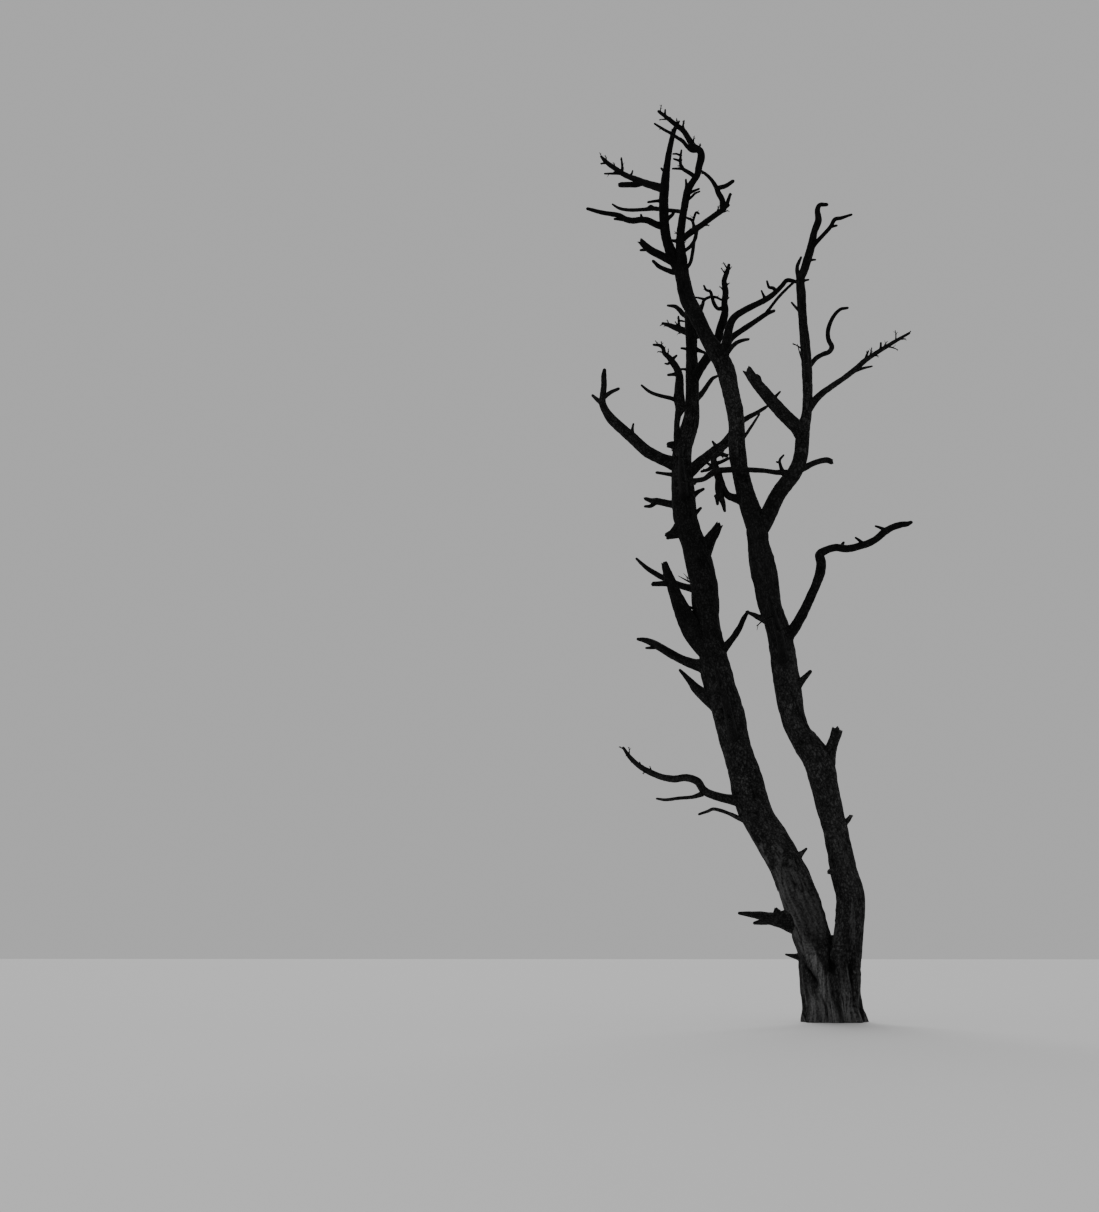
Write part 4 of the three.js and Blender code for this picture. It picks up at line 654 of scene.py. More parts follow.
def mass(name, parent, form, first, seed, count, reach, fan=1.0, strands=()):
    """A mass of twigs on a stem of its own, or on a bough's outer stretch from one knot to the tip:
    the solids' strands and twigs, then two levels of finer ones in the same space. Each carrier of
    finer twigs has a seed of its own."""
    piece = "crown_twigs" if fan == 1.0 else "outer_twigs"
    sprays = pieces[piece]["twigs"]
    pieces[piece]["nodes"].append(name)
    claim(form, name, first)
    if first == 0:
        grow(piece, [], form, parent)
    carriers = [limb(knots) for knots in strands]
    for strand in carriers:
        claim(strand, name)
        grow(piece, [], strand, form)
    start = first / (len(form.points) - 1)
    start += TWIGS["bare"] * (1 - start)
    others = others_than(name)
    twigs = twigs_on(form, others, seed, count, reach * MM, start, fan)
    for twig in twigs:
        claim(twig, name)
    sprays += [(twig, 0) for twig in twigs]
    carriers += twigs
    space = [np.array(corner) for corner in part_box(name)]
    for level, finer in enumerate(FINER, start=1):
        grown = []
        for i, carrier in enumerate(carriers):
            span = np.linalg.norm(carrier.points[-1] - carrier.points[0])
            grown += twigs_on(carrier, others, seed * 1000 + level * 300 + i, finer["count"],
                              finer["reach"] * min(span, reach * MM), finer["first"], fan, level, space)
        sprays += [(twig, level) for twig in grown]
        carriers = grown


mass("top_twigs", right_leader, right_leader, RIGHT_LEADER_SPLIT, seed=11, count=12, reach=300, strands=[
    [[-1550, 13575, -425, 34], [-1660, 13572, -400, 34], [-1740, 13655, -380, 32],
     [-1812, 13760, -360, 30], [-1910, 13840, -340, 27], [-1972, 13900, -320, 25],
     [-2100, 13990, -300, 23], [-2250, 14112, -280, 17]],
    [[-1790, 13940, -490, 20], [-1795, 14030, -500, 17], [-1780, 14112, -510, 13]],
    [[-1890, 14042, -510, 19], [-1872, 14080, -520, 16], [-1858, 14112, -530, 12]],
    [[-2070, 14215, -548, 19], [-2085, 14280, -550, 16], [-2082, 14345, -555, 12]],
])

mass("inner_top_twigs", right_leader, limb([
    [-1590, 13070, -362, 34], [-1710, 13180, -330, 30], [-1810, 13258, -300, 28],
    [-1845, 13330, -290, 27], [-1852, 13440, -290, 23], [-1832, 13585, -295, 15],
]), 0, seed=23, count=5, reach=160, strands=[
    [[-1810, 13258, -300, 22], [-1890, 13272, -320, 19], [-1970, 13282, -340, 14]],
    [[-1850, 13400, -290, 21], [-1900, 13428, -310, 18], [-1952, 13450, -325, 13]],
    [[-1845, 13500, -292, 19], [-1905, 13536, -310, 16], [-1962, 13542, -320, 12]],
])

mass("upper_left_twigs", left_leader, leader_bough, 4, seed=37, count=9, reach=240, strands=[
    [[-2805, 13283, 524, 22], [-2800, 13420, 540, 19], [-2812, 13550, 555, 14]],
    [[-2790, 13272, 515, 21], [-2930, 13290, 480, 19], [-3080, 13302, 440, 14]],
    [[-2690, 13205, 432, 20], [-2650, 13250, 440, 17], [-2632, 13300, 450, 13]],
    [[-3050, 13500, 716, 20], [-3095, 13492, 730, 17], [-3140, 13490, 740, 13]],
])

mass("upper_right_twigs", right_leader, limb([
    [-1840, 12040, -195, 54], [-1720, 12130, -260, 50], [-1560, 12230, -350, 47],
    [-1400, 12340, -440, 44], [-1270, 12430, -520, 42], [-1180, 12490, -580, 38],
    [-1120, 12590, -640, 30], [-1072, 12730, -700, 20],
]), 0, seed=41, count=9, reach=250, strands=[
    [[-1200, 12480, -570, 45], [-1195, 12640, -600, 45], [-1255, 12780, -620, 43],
     [-1287, 12880, -630, 38], [-1360, 13020, -640, 28], [-1450, 13130, -640, 24],
     [-1535, 13205, -640, 18]],
    [[-1285, 12862, -628, 35], [-1140, 12890, -680, 34], [-1035, 12952, -720, 30]],
    [[-1640, 12185, -305, 26], [-1635, 12040, -290, 28], [-1720, 11895, -230, 28],
     [-1850, 11800, -160, 28]],
    [[-1640, 12190, -305, 26], [-1622, 12110, -330, 28], [-1660, 11980, -340, 28],
     [-1690, 11780, -300, 28], [-1732, 11610, -230, 28], [-1830, 11470, -130, 28]],
    [[-1650, 12170, -300, 26], [-1682, 12330, -330, 22], [-1765, 12392, -350, 16]],
    [[-1675, 12315, -328, 20], [-1622, 12470, -350, 18], [-1580, 12452, -360, 14]],
    [[-1150, 12540, -610, 20], [-1122, 12520, -620, 17], [-1095, 12545, -625, 13]],
])

mass("bridge_twigs", left_stem, upper_bridge, 8, seed=53, count=8, reach=240, strands=[
    [[-1215, 10800, 243, 30], [-1310, 10792, 200, 29], [-1370, 10880, 160, 28], [-1402, 11000, 130, 26],
     [-1425, 11090, 110, 23], [-1490, 11125, 80, 20], [-1520, 11192, 60, 14]],
    [[-1405, 10995, 130, 22], [-1340, 10988, 150, 21], [-1262, 10942, 175, 16]],
    [[-1405, 11010, 128, 22], [-1520, 10962, 60, 22], [-1552, 10880, 0, 28], [-1595, 10750, -90, 32]],
    [[-1510, 10965, 66, 20], [-1590, 10992, 80, 17], [-1652, 11010, 95, 13]],
])

mass("right_twigs", right_limb, long_right_bough, 6, seed=67, count=9, reach=260, strands=[
    [[908, 9758, -932, 22], [924, 9832, -944, 18], [954, 9902, -952, 13]],
    [[1140, 9908, -1050, 21], [1146, 9960, -1060, 18], [1152, 10022, -1070, 13]],
])

mass("tangle_twigs", middle_limb, hanging_bough, 6, seed=71, count=9, reach=200, strands=[
    [[-1436, 8235, -545, 30], [-1520, 8160, -570, 28], [-1620, 8132, -590, 20]],
    [[-1438, 8245, -545, 26], [-1490, 8222, -560, 23], [-1552, 8272, -575, 15]],
    [[-1435, 8240, -545, 26], [-1340, 8262, -560, 26], [-1250, 8300, -580, 24], [-1165, 8330, -600, 16]],
])

mass("low_left_twigs", left_stem, low_left_bough, 8, seed=83, count=8, reach=200)

mass("inner_left_twigs", left_stem, inner_left_bough, 9, seed=97, count=7, reach=200, strands=[
    [[-2060, 9975, 208, 30], [-2020, 10020, 200, 24], [-1988, 10047, 195, 16]],
    [[-2062, 9975, 208, 24], [-2110, 9928, 190, 20], [-2150, 9932, 170, 14]],
])

mass("high_left_twigs", left_stem, limb([
    [-1738, 10390, 742, 58], [-1800, 10435, 800, 56], [-1900, 10482, 880, 52], [-2000, 10530, 960, 44],
    [-2100, 10580, 1040, 32], [-2182, 10612, 1100, 18],
]), 0, seed=103, count=8, reach=240, strands=[
    [[-1925, 10495, 900, 26], [-1932, 10600, 900, 20], [-1936, 10702, 900, 14]],
    [[-1932, 10640, 900, 18], [-1890, 10632, 915, 16], [-1855, 10622, 930, 13]],
])

mass("rear_twigs_low", left_stem, limb([
    [-1605, 5850, 485, 70], [-1640, 6200, 800, 62], [-1662, 6500, 1150, 52], [-1712, 6780, 1480, 38],
    [-1765, 7000, 1760, 17],
]), 0, seed=113, count=8, reach=620, fan=FAN)

mass("front_twigs_low", left_stem, limb([
    [-1235, 3900, 310, 78], [-1290, 4200, -150, 66], [-1360, 4560, -600, 54], [-1440, 4850, -950, 38],
    [-1500, 5080, -1200, 17],
]), 0, seed=127, count=8, reach=620, fan=FAN)

mass("front_twigs_middle", right_stem, limb([
    [-480, 5050, -285, 72], [-520, 5400, -750, 60], [-590, 5750, -1180, 48], [-650, 6000, -1500, 34],
    [-690, 6180, -1720, 16],
]), 0, seed=131, count=8, reach=620, fan=FAN)

mass("rear_twigs_middle", right_stem, limb([
    [-740, 6480, -330, 66], [-765, 6780, 100, 58], [-790, 7030, 550, 50], [-850, 7330, 1000, 36],
    [-930, 7600, 1400, 16],
]), 0, seed=149, count=8, reach=620, fan=FAN)

mass("rear_twigs_high", middle_limb, limb([
    [-1085, 8900, -290, 58], [-1095, 9200, 150, 50], [-1140, 9480, 600, 40], [-1200, 9760, 1050, 16],
]), 0, seed=151, count=7, reach=540, fan=FAN)

mass("front_twigs_high", left_stem, limb([
    [-1905, 7700, 610, 68], [-1922, 7920, 150, 60], [-1938, 8150, -280, 48], [-1945, 8360, -660, 34],
    [-1940, 8520, -900, 16],
]), 0, seed=163, count=7, reach=560, fan=FAN)

mass("rear_twigs_top", middle_limb, limb([
    [-1878, 11500, -85, 48], [-1895, 11750, 280, 40], [-1885, 12050, 650, 31], [-1870, 12330, 980, 15],
]), 0, seed=173, count=7, reach=460, fan=FAN)

mass("front_twigs_right", right_limb, limb([
    [20, 9480, -560, 48], [18, 9720, -950, 42], [10, 9960, -1300, 32], [0, 10200, -1600, 15],
]), 0, seed=181, count=7, reach=480, fan=FAN)


# Skins

BURIED, OUT = 0.60, 0.90  # heights where a stem's own skin begins, and where it is clear of the foot's
DRAWN = 0.4  # how far it is drawn in where it begins, as a share of its reach
STRIDE, FINEST = 0.022, 0.0115  # the most and the least from ring to ring, and the least round one
RING_GAP = 0.1  # from ring to ring, as a share of the mean half width
CURVE_STEPS = 24  # to a knot, where a limb's length is walked
SMOOTHED = 0.05  # the length over which a half width is evened out
MOST_SIDES, LEAST_SIDES = 80, 8  # of a ring
SPIRAL = 0.35  # radians that the grain turns in a metre
APART = 7.3  # in the grain, from one limb's wood to the next's
GNARL = 0.035  # how far a section is out of round, as a share of the half width
THINNEST = 0.55  # of the half width, that is left in the deepest place
COLLAR = dict(swell=0.32, long=0.6, least=0.7, inside=0.8, steps=240)  # in half widths, but for steps
CARRIED_ON = 0.8  # of its parent's half width, above which a limb is the parent carried on
POINT, SUNK = 1.6, -0.4  # a pointed tip, and a broken end's middle, as shares of the half width
# A broken rim's teeth, up and down, in half widths
BREAK = np.array([0.9, -0.35, 0.45, -0.6, 0.7, -0.15, 0.2, -0.5, 0.6, -0.25, 0.35, -0.4])
BARK, BARK_OUT = 0.012, 0.4  # its thickness on the stems, and the share of it that stands out
FULL_BARK = 0.2  # the mean half width from which bark is as thick as on the stems
BARK_EDGE = (0.35, 0.60)  # the step at its edge, by how bare the wood is
CELL, CELLS = 0.18, (0.010, 0.036)  # the relief's, as a share of the mean half width, and its bounds
DEPTH, DEPTHS = 0.045, (0.0012, 0.011)  # the cracks', likewise
SWELLS = [(0.13, 2.4), (0.07, 0.9)]  # how high in half widths, and in cells of how many
FURROW, CRACKED, CRACK_PATCHES = 12, (0.84, 0.99), (0.48, 0.68)  # how long, and where the cracks are
PLATE, FINE = (1.3, 2.6), (0.6, 2.4)  # of the relief's cell, wide and long
SLIM = [(9, 6), (6, 4), (5, 3)]  # a fine twig's rings and sides, level by level
PALENESS = dict(up=[4.2, 4.8, 5.5, 7.4, 8.0, 8.6, 9.3, 9.8, 10.4, 11.0],
                share=[1.0, 0.85, 0.48, 0.36, 0.52, 0.92, 0.92, 0.50, 0.28, 0.20])

# Bare of bark: the band up the front of the foot to the left stem, the stems' left sides below a
# height, with the distances from their middles in half widths, and the worn patches
BAND = dict(up=[0.0, 0.28, 0.50, 0.73, 1.03, 1.25], across=[-0.04, -0.10, -0.06, -0.15, -0.30, -0.44],
            wide=[0.24, 0.22, 0.13, 0.11, 0.12, 0.14], ends=(1.35, 1.00), ragged=1.1)
STREAK = (0.06, 0.06, 0.8)  # a cell of the band's ragged edge, and of the foot's strips
RAGGED = [(1.1, 0.07, 0.60), (0.3, 0.03, 0.12)]  # how far up or down, and cells wide and long
STRIPS = dict(wide=0.45, long=1.3, bare=0.6, where=(0.60, 0.70), above=(0.95, 1.25))  # on the stems
BARE_SIDES = {left_stem: dict(top=2.25, most=0.85, near=0.25, far=0.70),
              right_stem: dict(top=1.40, most=0.7, near=0.50, far=0.85)}
PATCHES = dict(most=0.25, wide=1.5, long=9, below=3.0, above=8.0)
SCARS = dict(apart=3.5, closest=0.30, least=0.26, spread=0.2, high=0.15, highest=0.014, long=1.5,
             sunk=0.42, deep=1.1)


def around(columns):
    """Equal turns, once round."""
    return np.arange(columns) * 2 * math.pi / columns


def spokes(along, angle):
    """The direction out of each ring at each angle a: side·sin a + cross·cos a."""
    side, cross = frames(along)
    return side[:, None] * np.sin(angle)[:, None] + cross[:, None] * np.cos(angle)[:, None]


def grain_of(size, turned, length, seed):
    """Grain coordinates with no seam: a circle of the limb's own size, at the angles that the grain has
    turned to, and the length along it. The seed moves them apart from other limbs'."""
    return np.stack([size * np.cos(turned), size * np.sin(turned),
                     np.broadcast_to(length[:, None], turned.shape)], axis=2) + APART * seed


def rings_of(form):
    """Rings equally far apart along a limb, above the height where skins begin: their centres,
    directions, half widths and the length walked to each. Half widths go straight from knot to knot,
    and are then evened out by a window of the shape 1 + cos."""
    fine = np.linspace(0.0, 1.0, CURVE_STEPS * len(form.points))
    trace = form.place(fine)
    above = trace[:, 2] > BURIED
    fine, trace = fine[above], trace[above]
    walked = np.concatenate([[0.0], np.cumsum(np.linalg.norm(np.diff(trace, axis=0), axis=1))])
    gap = np.clip(RING_GAP * form.radii.mean(), FINEST, STRIDE)
    length = np.linspace(0.0, walked[-1], max(int(walked[-1] / gap), 6))
    share = np.interp(length, walked, fine)
    centre = form.place(share)
    along = np.gradient(centre, axis=0)
    along /= np.linalg.norm(along, axis=1, keepdims=True)
    window = np.hanning(2 * max(int(SMOOTHED / gap), 1) + 3)[1:-1]
    padded = np.pad(form.width(share), len(window) // 2, mode="edge")
    radius = np.convolve(padded, window / window.sum(), mode="valid")
    return centre, along, radius, length


def collar(centre, out, radius, parent):
    """The share by which a limb's skin swells where it leaves its parent: e to the minus distance of
    each point out of the parent, over a share of the limb's half width. Rings that lie deep in the
    parent are drawn in. A limb nearly as thick as its parent carries it on, and keeps its width."""
    share = np.linspace(0.0, 1.0, COLLAR["steps"])
    trace, wide, ahead = parent.place(share), parent.width(share), parent.direction(share)
    nearest = np.linalg.norm(centre[:, None] - trace, axis=2).argmin(axis=1)
    trace, wide, ahead = trace[nearest], wide[nearest], ahead[nearest]
    thick = radius[0] / wide[0]
    if thick > CARRIED_ON:
        return np.ones(out.shape[:2])
    away = centre[:, None] + out * radius[:, None, None] - trace[:, None]
    away = away - ahead[:, None] * np.einsum("rck,rk->rc", away, ahead)[..., None]
    clear = np.maximum(np.linalg.norm(away, axis=2) - wide[:, None], 0.0)
    swell = COLLAR["swell"] * min(3 * (CARRIED_ON - thick), 1.0)
    swell = 1 + swell * np.exp(-clear / (COLLAR["long"] * radius[:, None]))
    middle = np.linalg.norm(centre - trace, axis=1) - 0.5 * wide
    room = COLLAR["inside"] * wide + 3 * np.maximum(middle, 0.0)
    return np.minimum(swell, np.maximum(room / radius, COLLAR["least"])[:, None])


def bare_band(points, grain, facing):
    """How bare the wood is in the band: e to the minus square of a point's distance from its middle
    over its width, and 0 behind, roughened by streaks along the grain and sharpened."""
    across, wide = [np.interp(points[..., 2], BAND["up"], BAND[field]) for field in ("across", "wide")]
    near = smooth_step(-0.6, 0.3, facing) * np.exp(-((points[..., 0] - across) / wide) ** 2)
    return smooth_step(0.25, 0.75, near + BAND["ragged"] * (noise(grain, STREAK, 17) - 0.5))


def bare_wood(form, points, grain, size, seed):
    """How bare of bark the wood is, 0 to 1. Low on the two stems the bark has come off below a ragged
    line, down the left side and in strips beside it that run with the grain, and at the foot in the
    band. Elsewhere there are faint, long, worn patches, fainter with height."""
    up = points[..., 2]
    worn = noise(grain, [PATCHES["wide"] * size, PATCHES["wide"] * size, PATCHES["long"] * size], seed)
    patches = PATCHES["most"] * smooth_step(0.62, 0.80, worn)
    patches = patches * smooth_step(PATCHES["above"], PATCHES["below"], up)
    if form not in BARE_SIDES:
        return patches
    bared = BARE_SIDES[form]
    ragged = sum(high * ripple(points, wide, long, 5 + k) for k, (high, wide, long) in enumerate(RAGGED))
    strips = noise(grain, [STRIPS["wide"] * size, STRIPS["wide"] * size, STRIPS["long"]], 12)
    across = points[..., 0] - points[..., 0].mean(1, keepdims=True)
    left = (strips - 0.5) - across / np.abs(across).max(1, keepdims=True)
    low = smooth_step(bared["top"], bared["top"] - 0.08, up + ragged)
    strips = STRIPS["bare"] * smooth_step(*STRIPS["where"], strips) * smooth_step(*STRIPS["above"], up)
    bare = bared["most"] * low * np.maximum(smooth_step(bared["near"], bared["far"], left), strips)
    if form is left_stem:
        behind = points[..., 1] - points[..., 1].mean(1, keepdims=True)
        band = bare_band(points, grain, -behind / np.abs(behind).max(1, keepdims=True))
        share = smooth_step(*BAND["ends"], up)
        bare = bare * (1 - share) + band * share
    return np.maximum(bare, patches)


def scars(length, angle, radius, seed):
    """Swellings where twigs were lost, with a sunk middle: each adds h(e^-d² - deep·e^-(d/sunk)²), d being
    the distance over the skin from its centre over its size. Also gives how far inside one a point is."""
    draw = random_from(seed)
    rise = np.zeros((len(length), len(angle)))
    inside = np.zeros_like(rise)
    for _ in range(int(length[-1] / max(SCARS["apart"] * radius.mean(), SCARS["closest"]))):
        place, turn = (0.04 + 0.92 * next(draw)) * length[-1], 2 * math.pi * next(draw)
        wide = np.interp(place, length, radius)
        size = wide * (SCARS["least"] + SCARS["spread"] * next(draw))
        height = min(SCARS["high"] * wide, SCARS["highest"]) * next(draw)
        round_way = (angle - turn + math.pi) % (2 * math.pi) - math.pi
        apart = ((length[:, None] - place) / (SCARS["long"] * size)) ** 2 + (round_way * wide / size) ** 2
        middle = np.exp(-apart / SCARS["sunk"] ** 2)
        rise += height * (np.exp(-apart) - SCARS["deep"] * middle)
        inside = np.maximum(inside, middle)
    return rise, inside


def paleness_by_height(up):
    """How pale the wood is made at each height, 0 to 1: fully low down, again in the crown's middle, and
    hardly at all in its top, which is left darkest."""
    return np.interp(up, PALENESS["up"], PALENESS["share"])


def relief(grain, radius, size, bare, seed):
    """The skin's rise and how deep in a crack it is. Long furrows run with the grain where noise
    stretched along it crosses its middle value, plates of bark stand between them, the bark ends in a
    step where the wood is bare, and two slower noises swell the limb."""
    cell, depth = np.clip(CELL * size, *CELLS), np.clip(DEPTH * size, *DEPTHS)
    swell = sum(high * (noise(grain, wide * size, seed + k) - 0.5) for k, (high, wide) in enumerate(SWELLS))
    furrow = 1 - np.abs(2 * noise(grain, [cell, cell, FURROW * cell], seed + 2) - 1)
    crack = smooth_step(*CRACKED, furrow)
    crack = crack * smooth_step(*CRACK_PATCHES, noise(grain, 6 * cell, seed + 3))
    plate = ripple(grain, PLATE[0] * cell, PLATE[1] * cell, seed + 4)
    fine = ripple(grain, FINE[0] * cell, FINE[1] * cell, seed + 6)
    rise = swell * radius + depth * ((1 - bare) * (0.8 + 1.5 * plate + 0.9 * fine) + bare * 0.6 * fine)
    rise = rise + BARK * np.minimum(size / FULL_BARK, 1.0) * (BARK_OUT - smooth_step(*BARK_EDGE, bare))
    return rise - depth * (1.0 + 0.5 * bare) * crack, crack


def torn_rim(teeth, angle, grain, end, seed):
    """How far a broken end's rim stands up or down at each angle, in half widths: straight from tooth
    to tooth, with noise for splinters."""
    rim = np.interp(angle / (2 * math.pi) * teeth, np.arange(teeth + 1),
                    np.append(BREAK[:teeth], BREAK[0]))
    return rim * 0.8 + 0.7 * ripple(grain, 0.16 * end, 1.0, seed + 8)


def torn_end(centre, along, out, reach, end, rim, grain, seed):
    """Rings at shares s of the last one's reach, which go from the rim's height, times s^1.5, down to
    the sunk middle with rough noise, and the middle's point."""
    rows = []
    for share in (0.82, 0.6, 0.36):
        rough = 0.35 * ripple(grain, 0.12 * end, 1.0, seed + round(90 * share))
        drop = end * (rim * share ** 1.5 + SUNK * (1 - share) + rough)
        rows.append(centre + out * (reach * share)[:, None] + along * drop[:, None])
    return rows, centre + along * end * SUNK


def pointed_end(centre, along, out, reach, end):
    """Rings at shares s of the way up half an ellipsoid, √(1-s²) of the last one's reach, and its
    tip."""
    rows = [centre + out * (reach * math.sqrt(1 - share ** 2))[:, None] + along * POINT * end * share
            for share in (0.28, 0.52, 0.74, 0.9)]
    return rows, centre + along * POINT * end


def skin(form, parent, seed):
    """A limb's closed skin: rings round its curve, each point at the half width times the section's
    gnarl, plus the relief and the scars, and times the collar. The rings near a broken end rise and
    fall with its rim, by the square of how near they are."""
    centre, along, radius, length = rings_of(form)
    size, end = float(radius.mean()), radius[-1]
    columns = int(np.clip(round(2 * math.pi * radius.max() / FINEST), LEAST_SIDES, MOST_SIDES))
    angle = around(columns)
    out = spokes(along, angle)
    grain = grain_of(size, angle + SPIRAL * length[:, None], length, seed)
    wide, up = radius[:, None], centre[:, 2:3]
    bare = bare_wood(form, centre[:, None] + out * wide[..., None], grain, size, seed)
    rise, crack = relief(grain, wide, size, bare, seed)
    scar, sunk = scars(length, angle, radius, seed)
    place = 4.0 * up
    gnarl = 1 + GNARL * (np.sin(2 * angle + place + form.phase)
                         + np.sin(3 * angle - 1.7 * place + 2 * form.phase))
    reach = np.maximum(wide * gnarl + rise + scar, THINNEST * wide)
    if parent:
        reach = reach * collar(centre, out, radius, parent)
    if form in (left_stem, right_stem):
        reach = reach * (1 - DRAWN * smooth_step(OUT, BURIED, up))
    points = centre[:, None] + out * reach[..., None]
    # Marks: how bare; how far in a crack or a scar's sunk middle, which is painted as shade; and the tone
    # given by height
    marks = np.stack([bare, np.maximum(crack, sunk), paleness_by_height(up) * np.ones_like(reach)], axis=2)
    last = (centre[-1], along[-1], out[-1], reach[-1], end)
    if form.teeth:
        rim = torn_rim(form.teeth, angle, grain[-1], end, seed)
        near = np.maximum(1 - (length[-1] - length) / (2 * end), 0.0)[:, None]
        points = points + along[:, None] * (end * rim * near ** 2)[..., None]
        torn = smooth_step(0.75, 1.0, near + 0.15 * (crack - 0.5))
        marks[..., 0] = np.maximum(bare, torn)
        rows, pole = torn_end(*last, rim, grain[-1], seed)
        # The end's face keeps the last ring's bareness and tone, with a fixed 0.2 of painted shade for its
        # sunk middle
        cap = marks[-1] * [1, 0, 1] + [0.0, 0.2, 0.0]
    else:
        rows, pole = pointed_end(*last)
        cap = marks[-1]
    beyond = grain[-1] + 0.01 * np.arange(1, len(rows) + 1)[:, None, None] * [0.0, 0.0, 1.0]
    return closed(np.concatenate([points, rows]), centre[0], pole, np.concatenate([grain, beyond]),
                  np.concatenate([marks, np.broadcast_to(cap, beyond.shape)]))


def closed(grid, first_pole, last_pole, grain, marks):
    """A closed mesh from a grid of rings: four-sided faces between neighbours, counted the way round
    that faces them outwards, and a fan to a pole at each end."""
    rows, columns = grid.shape[:2]
    index = np.arange(rows * columns).reshape(rows, columns)
    ahead = np.roll(index, -1, axis=1)
    quads = np.stack([index[:-1], ahead[:-1], ahead[1:], index[1:]], axis=2).reshape(-1, 4)
    first, last = rows * columns, rows * columns + 1
    fans = np.concatenate([
        np.stack([np.full(columns, first), ahead[0], index[0]], axis=1),
        np.stack([np.full(columns, last), index[-1], ahead[-1]], axis=1),
    ])

    def flat(field, ends):
        return np.concatenate([field.reshape(-1, 3), ends])

    return dict(points=flat(grid, [first_pole, last_pole]), quads=quads, fans=fans,
                grain=flat(grain, [grain[0].mean(0), grain[-1].mean(0)]),
                marks=flat(marks, [marks[0].mean(0), marks[-1].mean(0)]))


def slim_skin(form, level, seed):
    """A fine twig's closed skin: a few rings round its curve, thinner and with fewer sides at each
    level, with a point at its tip."""
    rows, columns = SLIM[level]
    share = np.linspace(0.0, 1.0, rows)
    centre, along, radius = form.place(share), form.direction(share), form.width(share)
    out = spokes(along, around(columns))
    knobs = 1 + 0.18 * (noise(centre, 0.02, seed) - 0.5)
    grid = centre[:, None] + out * (radius * knobs)[:, None, None]
    grain = out * radius[:, None, None] + np.array([0.0, 0.0, 1.0]) * share[:, None, None] + seed
    marks = np.zeros_like(grid)
    marks[..., 2] = paleness_by_height(centre[:, 2:3])
    return closed(grid, centre[0], centre[-1] + along[-1] * POINT * radius[-1], grain, marks)


# The foot

FOOT_TOP = 1.18
FOOT_SIZE = 0.42  # the half width that its grain and relief are made for
FOOT_ROWS, FOOT_COLUMNS = 118, 300
FOOT_SPIRAL = 0.25  # radians that its grain turns in a metre
FOOT_SWELL = 0.028  # how far its skin stands out of the stems', before it sinks into them
SWELL_FROM, SWELL_TO = (0.15, 0.50), (0.50, 1.00)  # heights between which that comes and goes
SINKS = [(0.03, 0.86, 1.04), (0.16, 0.92, 1.05)]  # how far it sinks in, and between which heights
FORK_WEB = 0.12  # how much higher it ends in the fork than elsewhere
FOOT_RAGGED = (0.16, 0.05, 0.4)  # how far up or down it ends, and cells wide and long
FOOT_BARE = dict(most=0.8, below=(0.75, 0.25), ragged=(0.5, 0.09, 0.3), where=(0.46, 0.58))
FLARE = dict(lobes=7, turn=0.35, uneven=0.14, centre=(0.015, 0.010), reach=0.40, shallow=0.85,
             out=(0.42, 0.62, 1.0), up=(0.78, 0.30, -0.09), half=(0.100, 0.125, 0.080), full=0.45)
BLEND = 0.045  # how softly the foot's forms run into each other
HOLLOWS = [
    dict(turn=-2.50, up=0.66, wide=0.09, tall=0.13, lean=-2.4, deep=0.055),
    dict(turn=-1.52, up=0.80, wide=0.20, tall=0.17, lean=-0.3, deep=0.085),
    dict(turn=-0.80, up=0.68, wide=0.08, tall=0.34, lean=-0.2, deep=0.055),
    dict(turn=1.20, up=0.55, wide=0.12, tall=0.30, lean=0.3, deep=0.060),
    dict(turn=2.30, up=0.62, wide=0.10, tall=0.20, lean=0.5, deep=0.050),
]  # lean is in radians of turn for a metre of height


def root_lobe(i):
    """One lobe of the root flare, as the solid has it: a limb from its back, past its knee, to its toe
    below the cut."""
    angle = FLARE["turn"] + i * 2 * math.pi / FLARE["lobes"]
    reach = FLARE["reach"] * (1 + FLARE["uneven"] * math.sin(3 * i + 1))
    at_x, at_y = reach * math.cos(angle), reach * FLARE["shallow"] * math.sin(angle)
    points = [(FLARE["centre"][0] + out * at_x, FLARE["centre"][1] + out * at_y, up)
              for out, up in zip(FLARE["out"], FLARE["up"])]
    return Limb(points, FLARE["half"])


def circles(form, last, up):
    """The centre (x, y) and half width of a limb's section at each height, up to a share of it."""
    share = np.linspace(0.0, last, 80)
    trace, wide = form.place(share), form.width(share)
    order = np.argsort(trace[:, 2])
    centre = [np.interp(up, trace[order, 2], trace[order, k]) for k in (0, 1)]
    return np.stack(centre, axis=1), np.interp(up, trace[order, 2], wide[order])


def soft_most(first, second):
    """The larger of two, rounded where they are alike: half of a + b + the root of (a-b)² + BLEND²."""
    return (first + second + np.sqrt((first - second) ** 2 + BLEND ** 2)) / 2


def foot_reach(up, out):
    """The foot's middle at each height, halfway between the stems, and how far it stands out in each
    direction: as far as the farthest of the two stems' circles and the root lobes', with the lobes'
    share fading upwards. A circle reaches a + √(r² - b²), its centre being a ahead and b aside."""
    stems = [circles(form, 3.0 / (len(form.points) - 1), up) for form in (left_stem, right_stem)]
    lobes = [circles(root_lobe(i), 1.0, up) for i in range(FLARE["lobes"])]
    middle = (stems[0][0] + stems[1][0]) / 2
    reaches = []
    for centre, wide in stems + lobes:
        apart = centre - middle
        ahead = apart @ out[:, :2].T
        aside = apart[:, :1] * out[:, 1] - apart[:, 1:] * out[:, 0]
        reaches.append(ahead + np.sqrt(np.maximum(wide[:, None] ** 2 - aside ** 2, 0.0)))
    trunk = soft_most(reaches[0], reaches[1])
    flared = functools.reduce(soft_most, reaches[2:], trunk)
    fading = smooth_step(FLARE["up"][0], FLARE["full"], up)[:, None]
    return middle, trunk + fading * (flared - trunk)


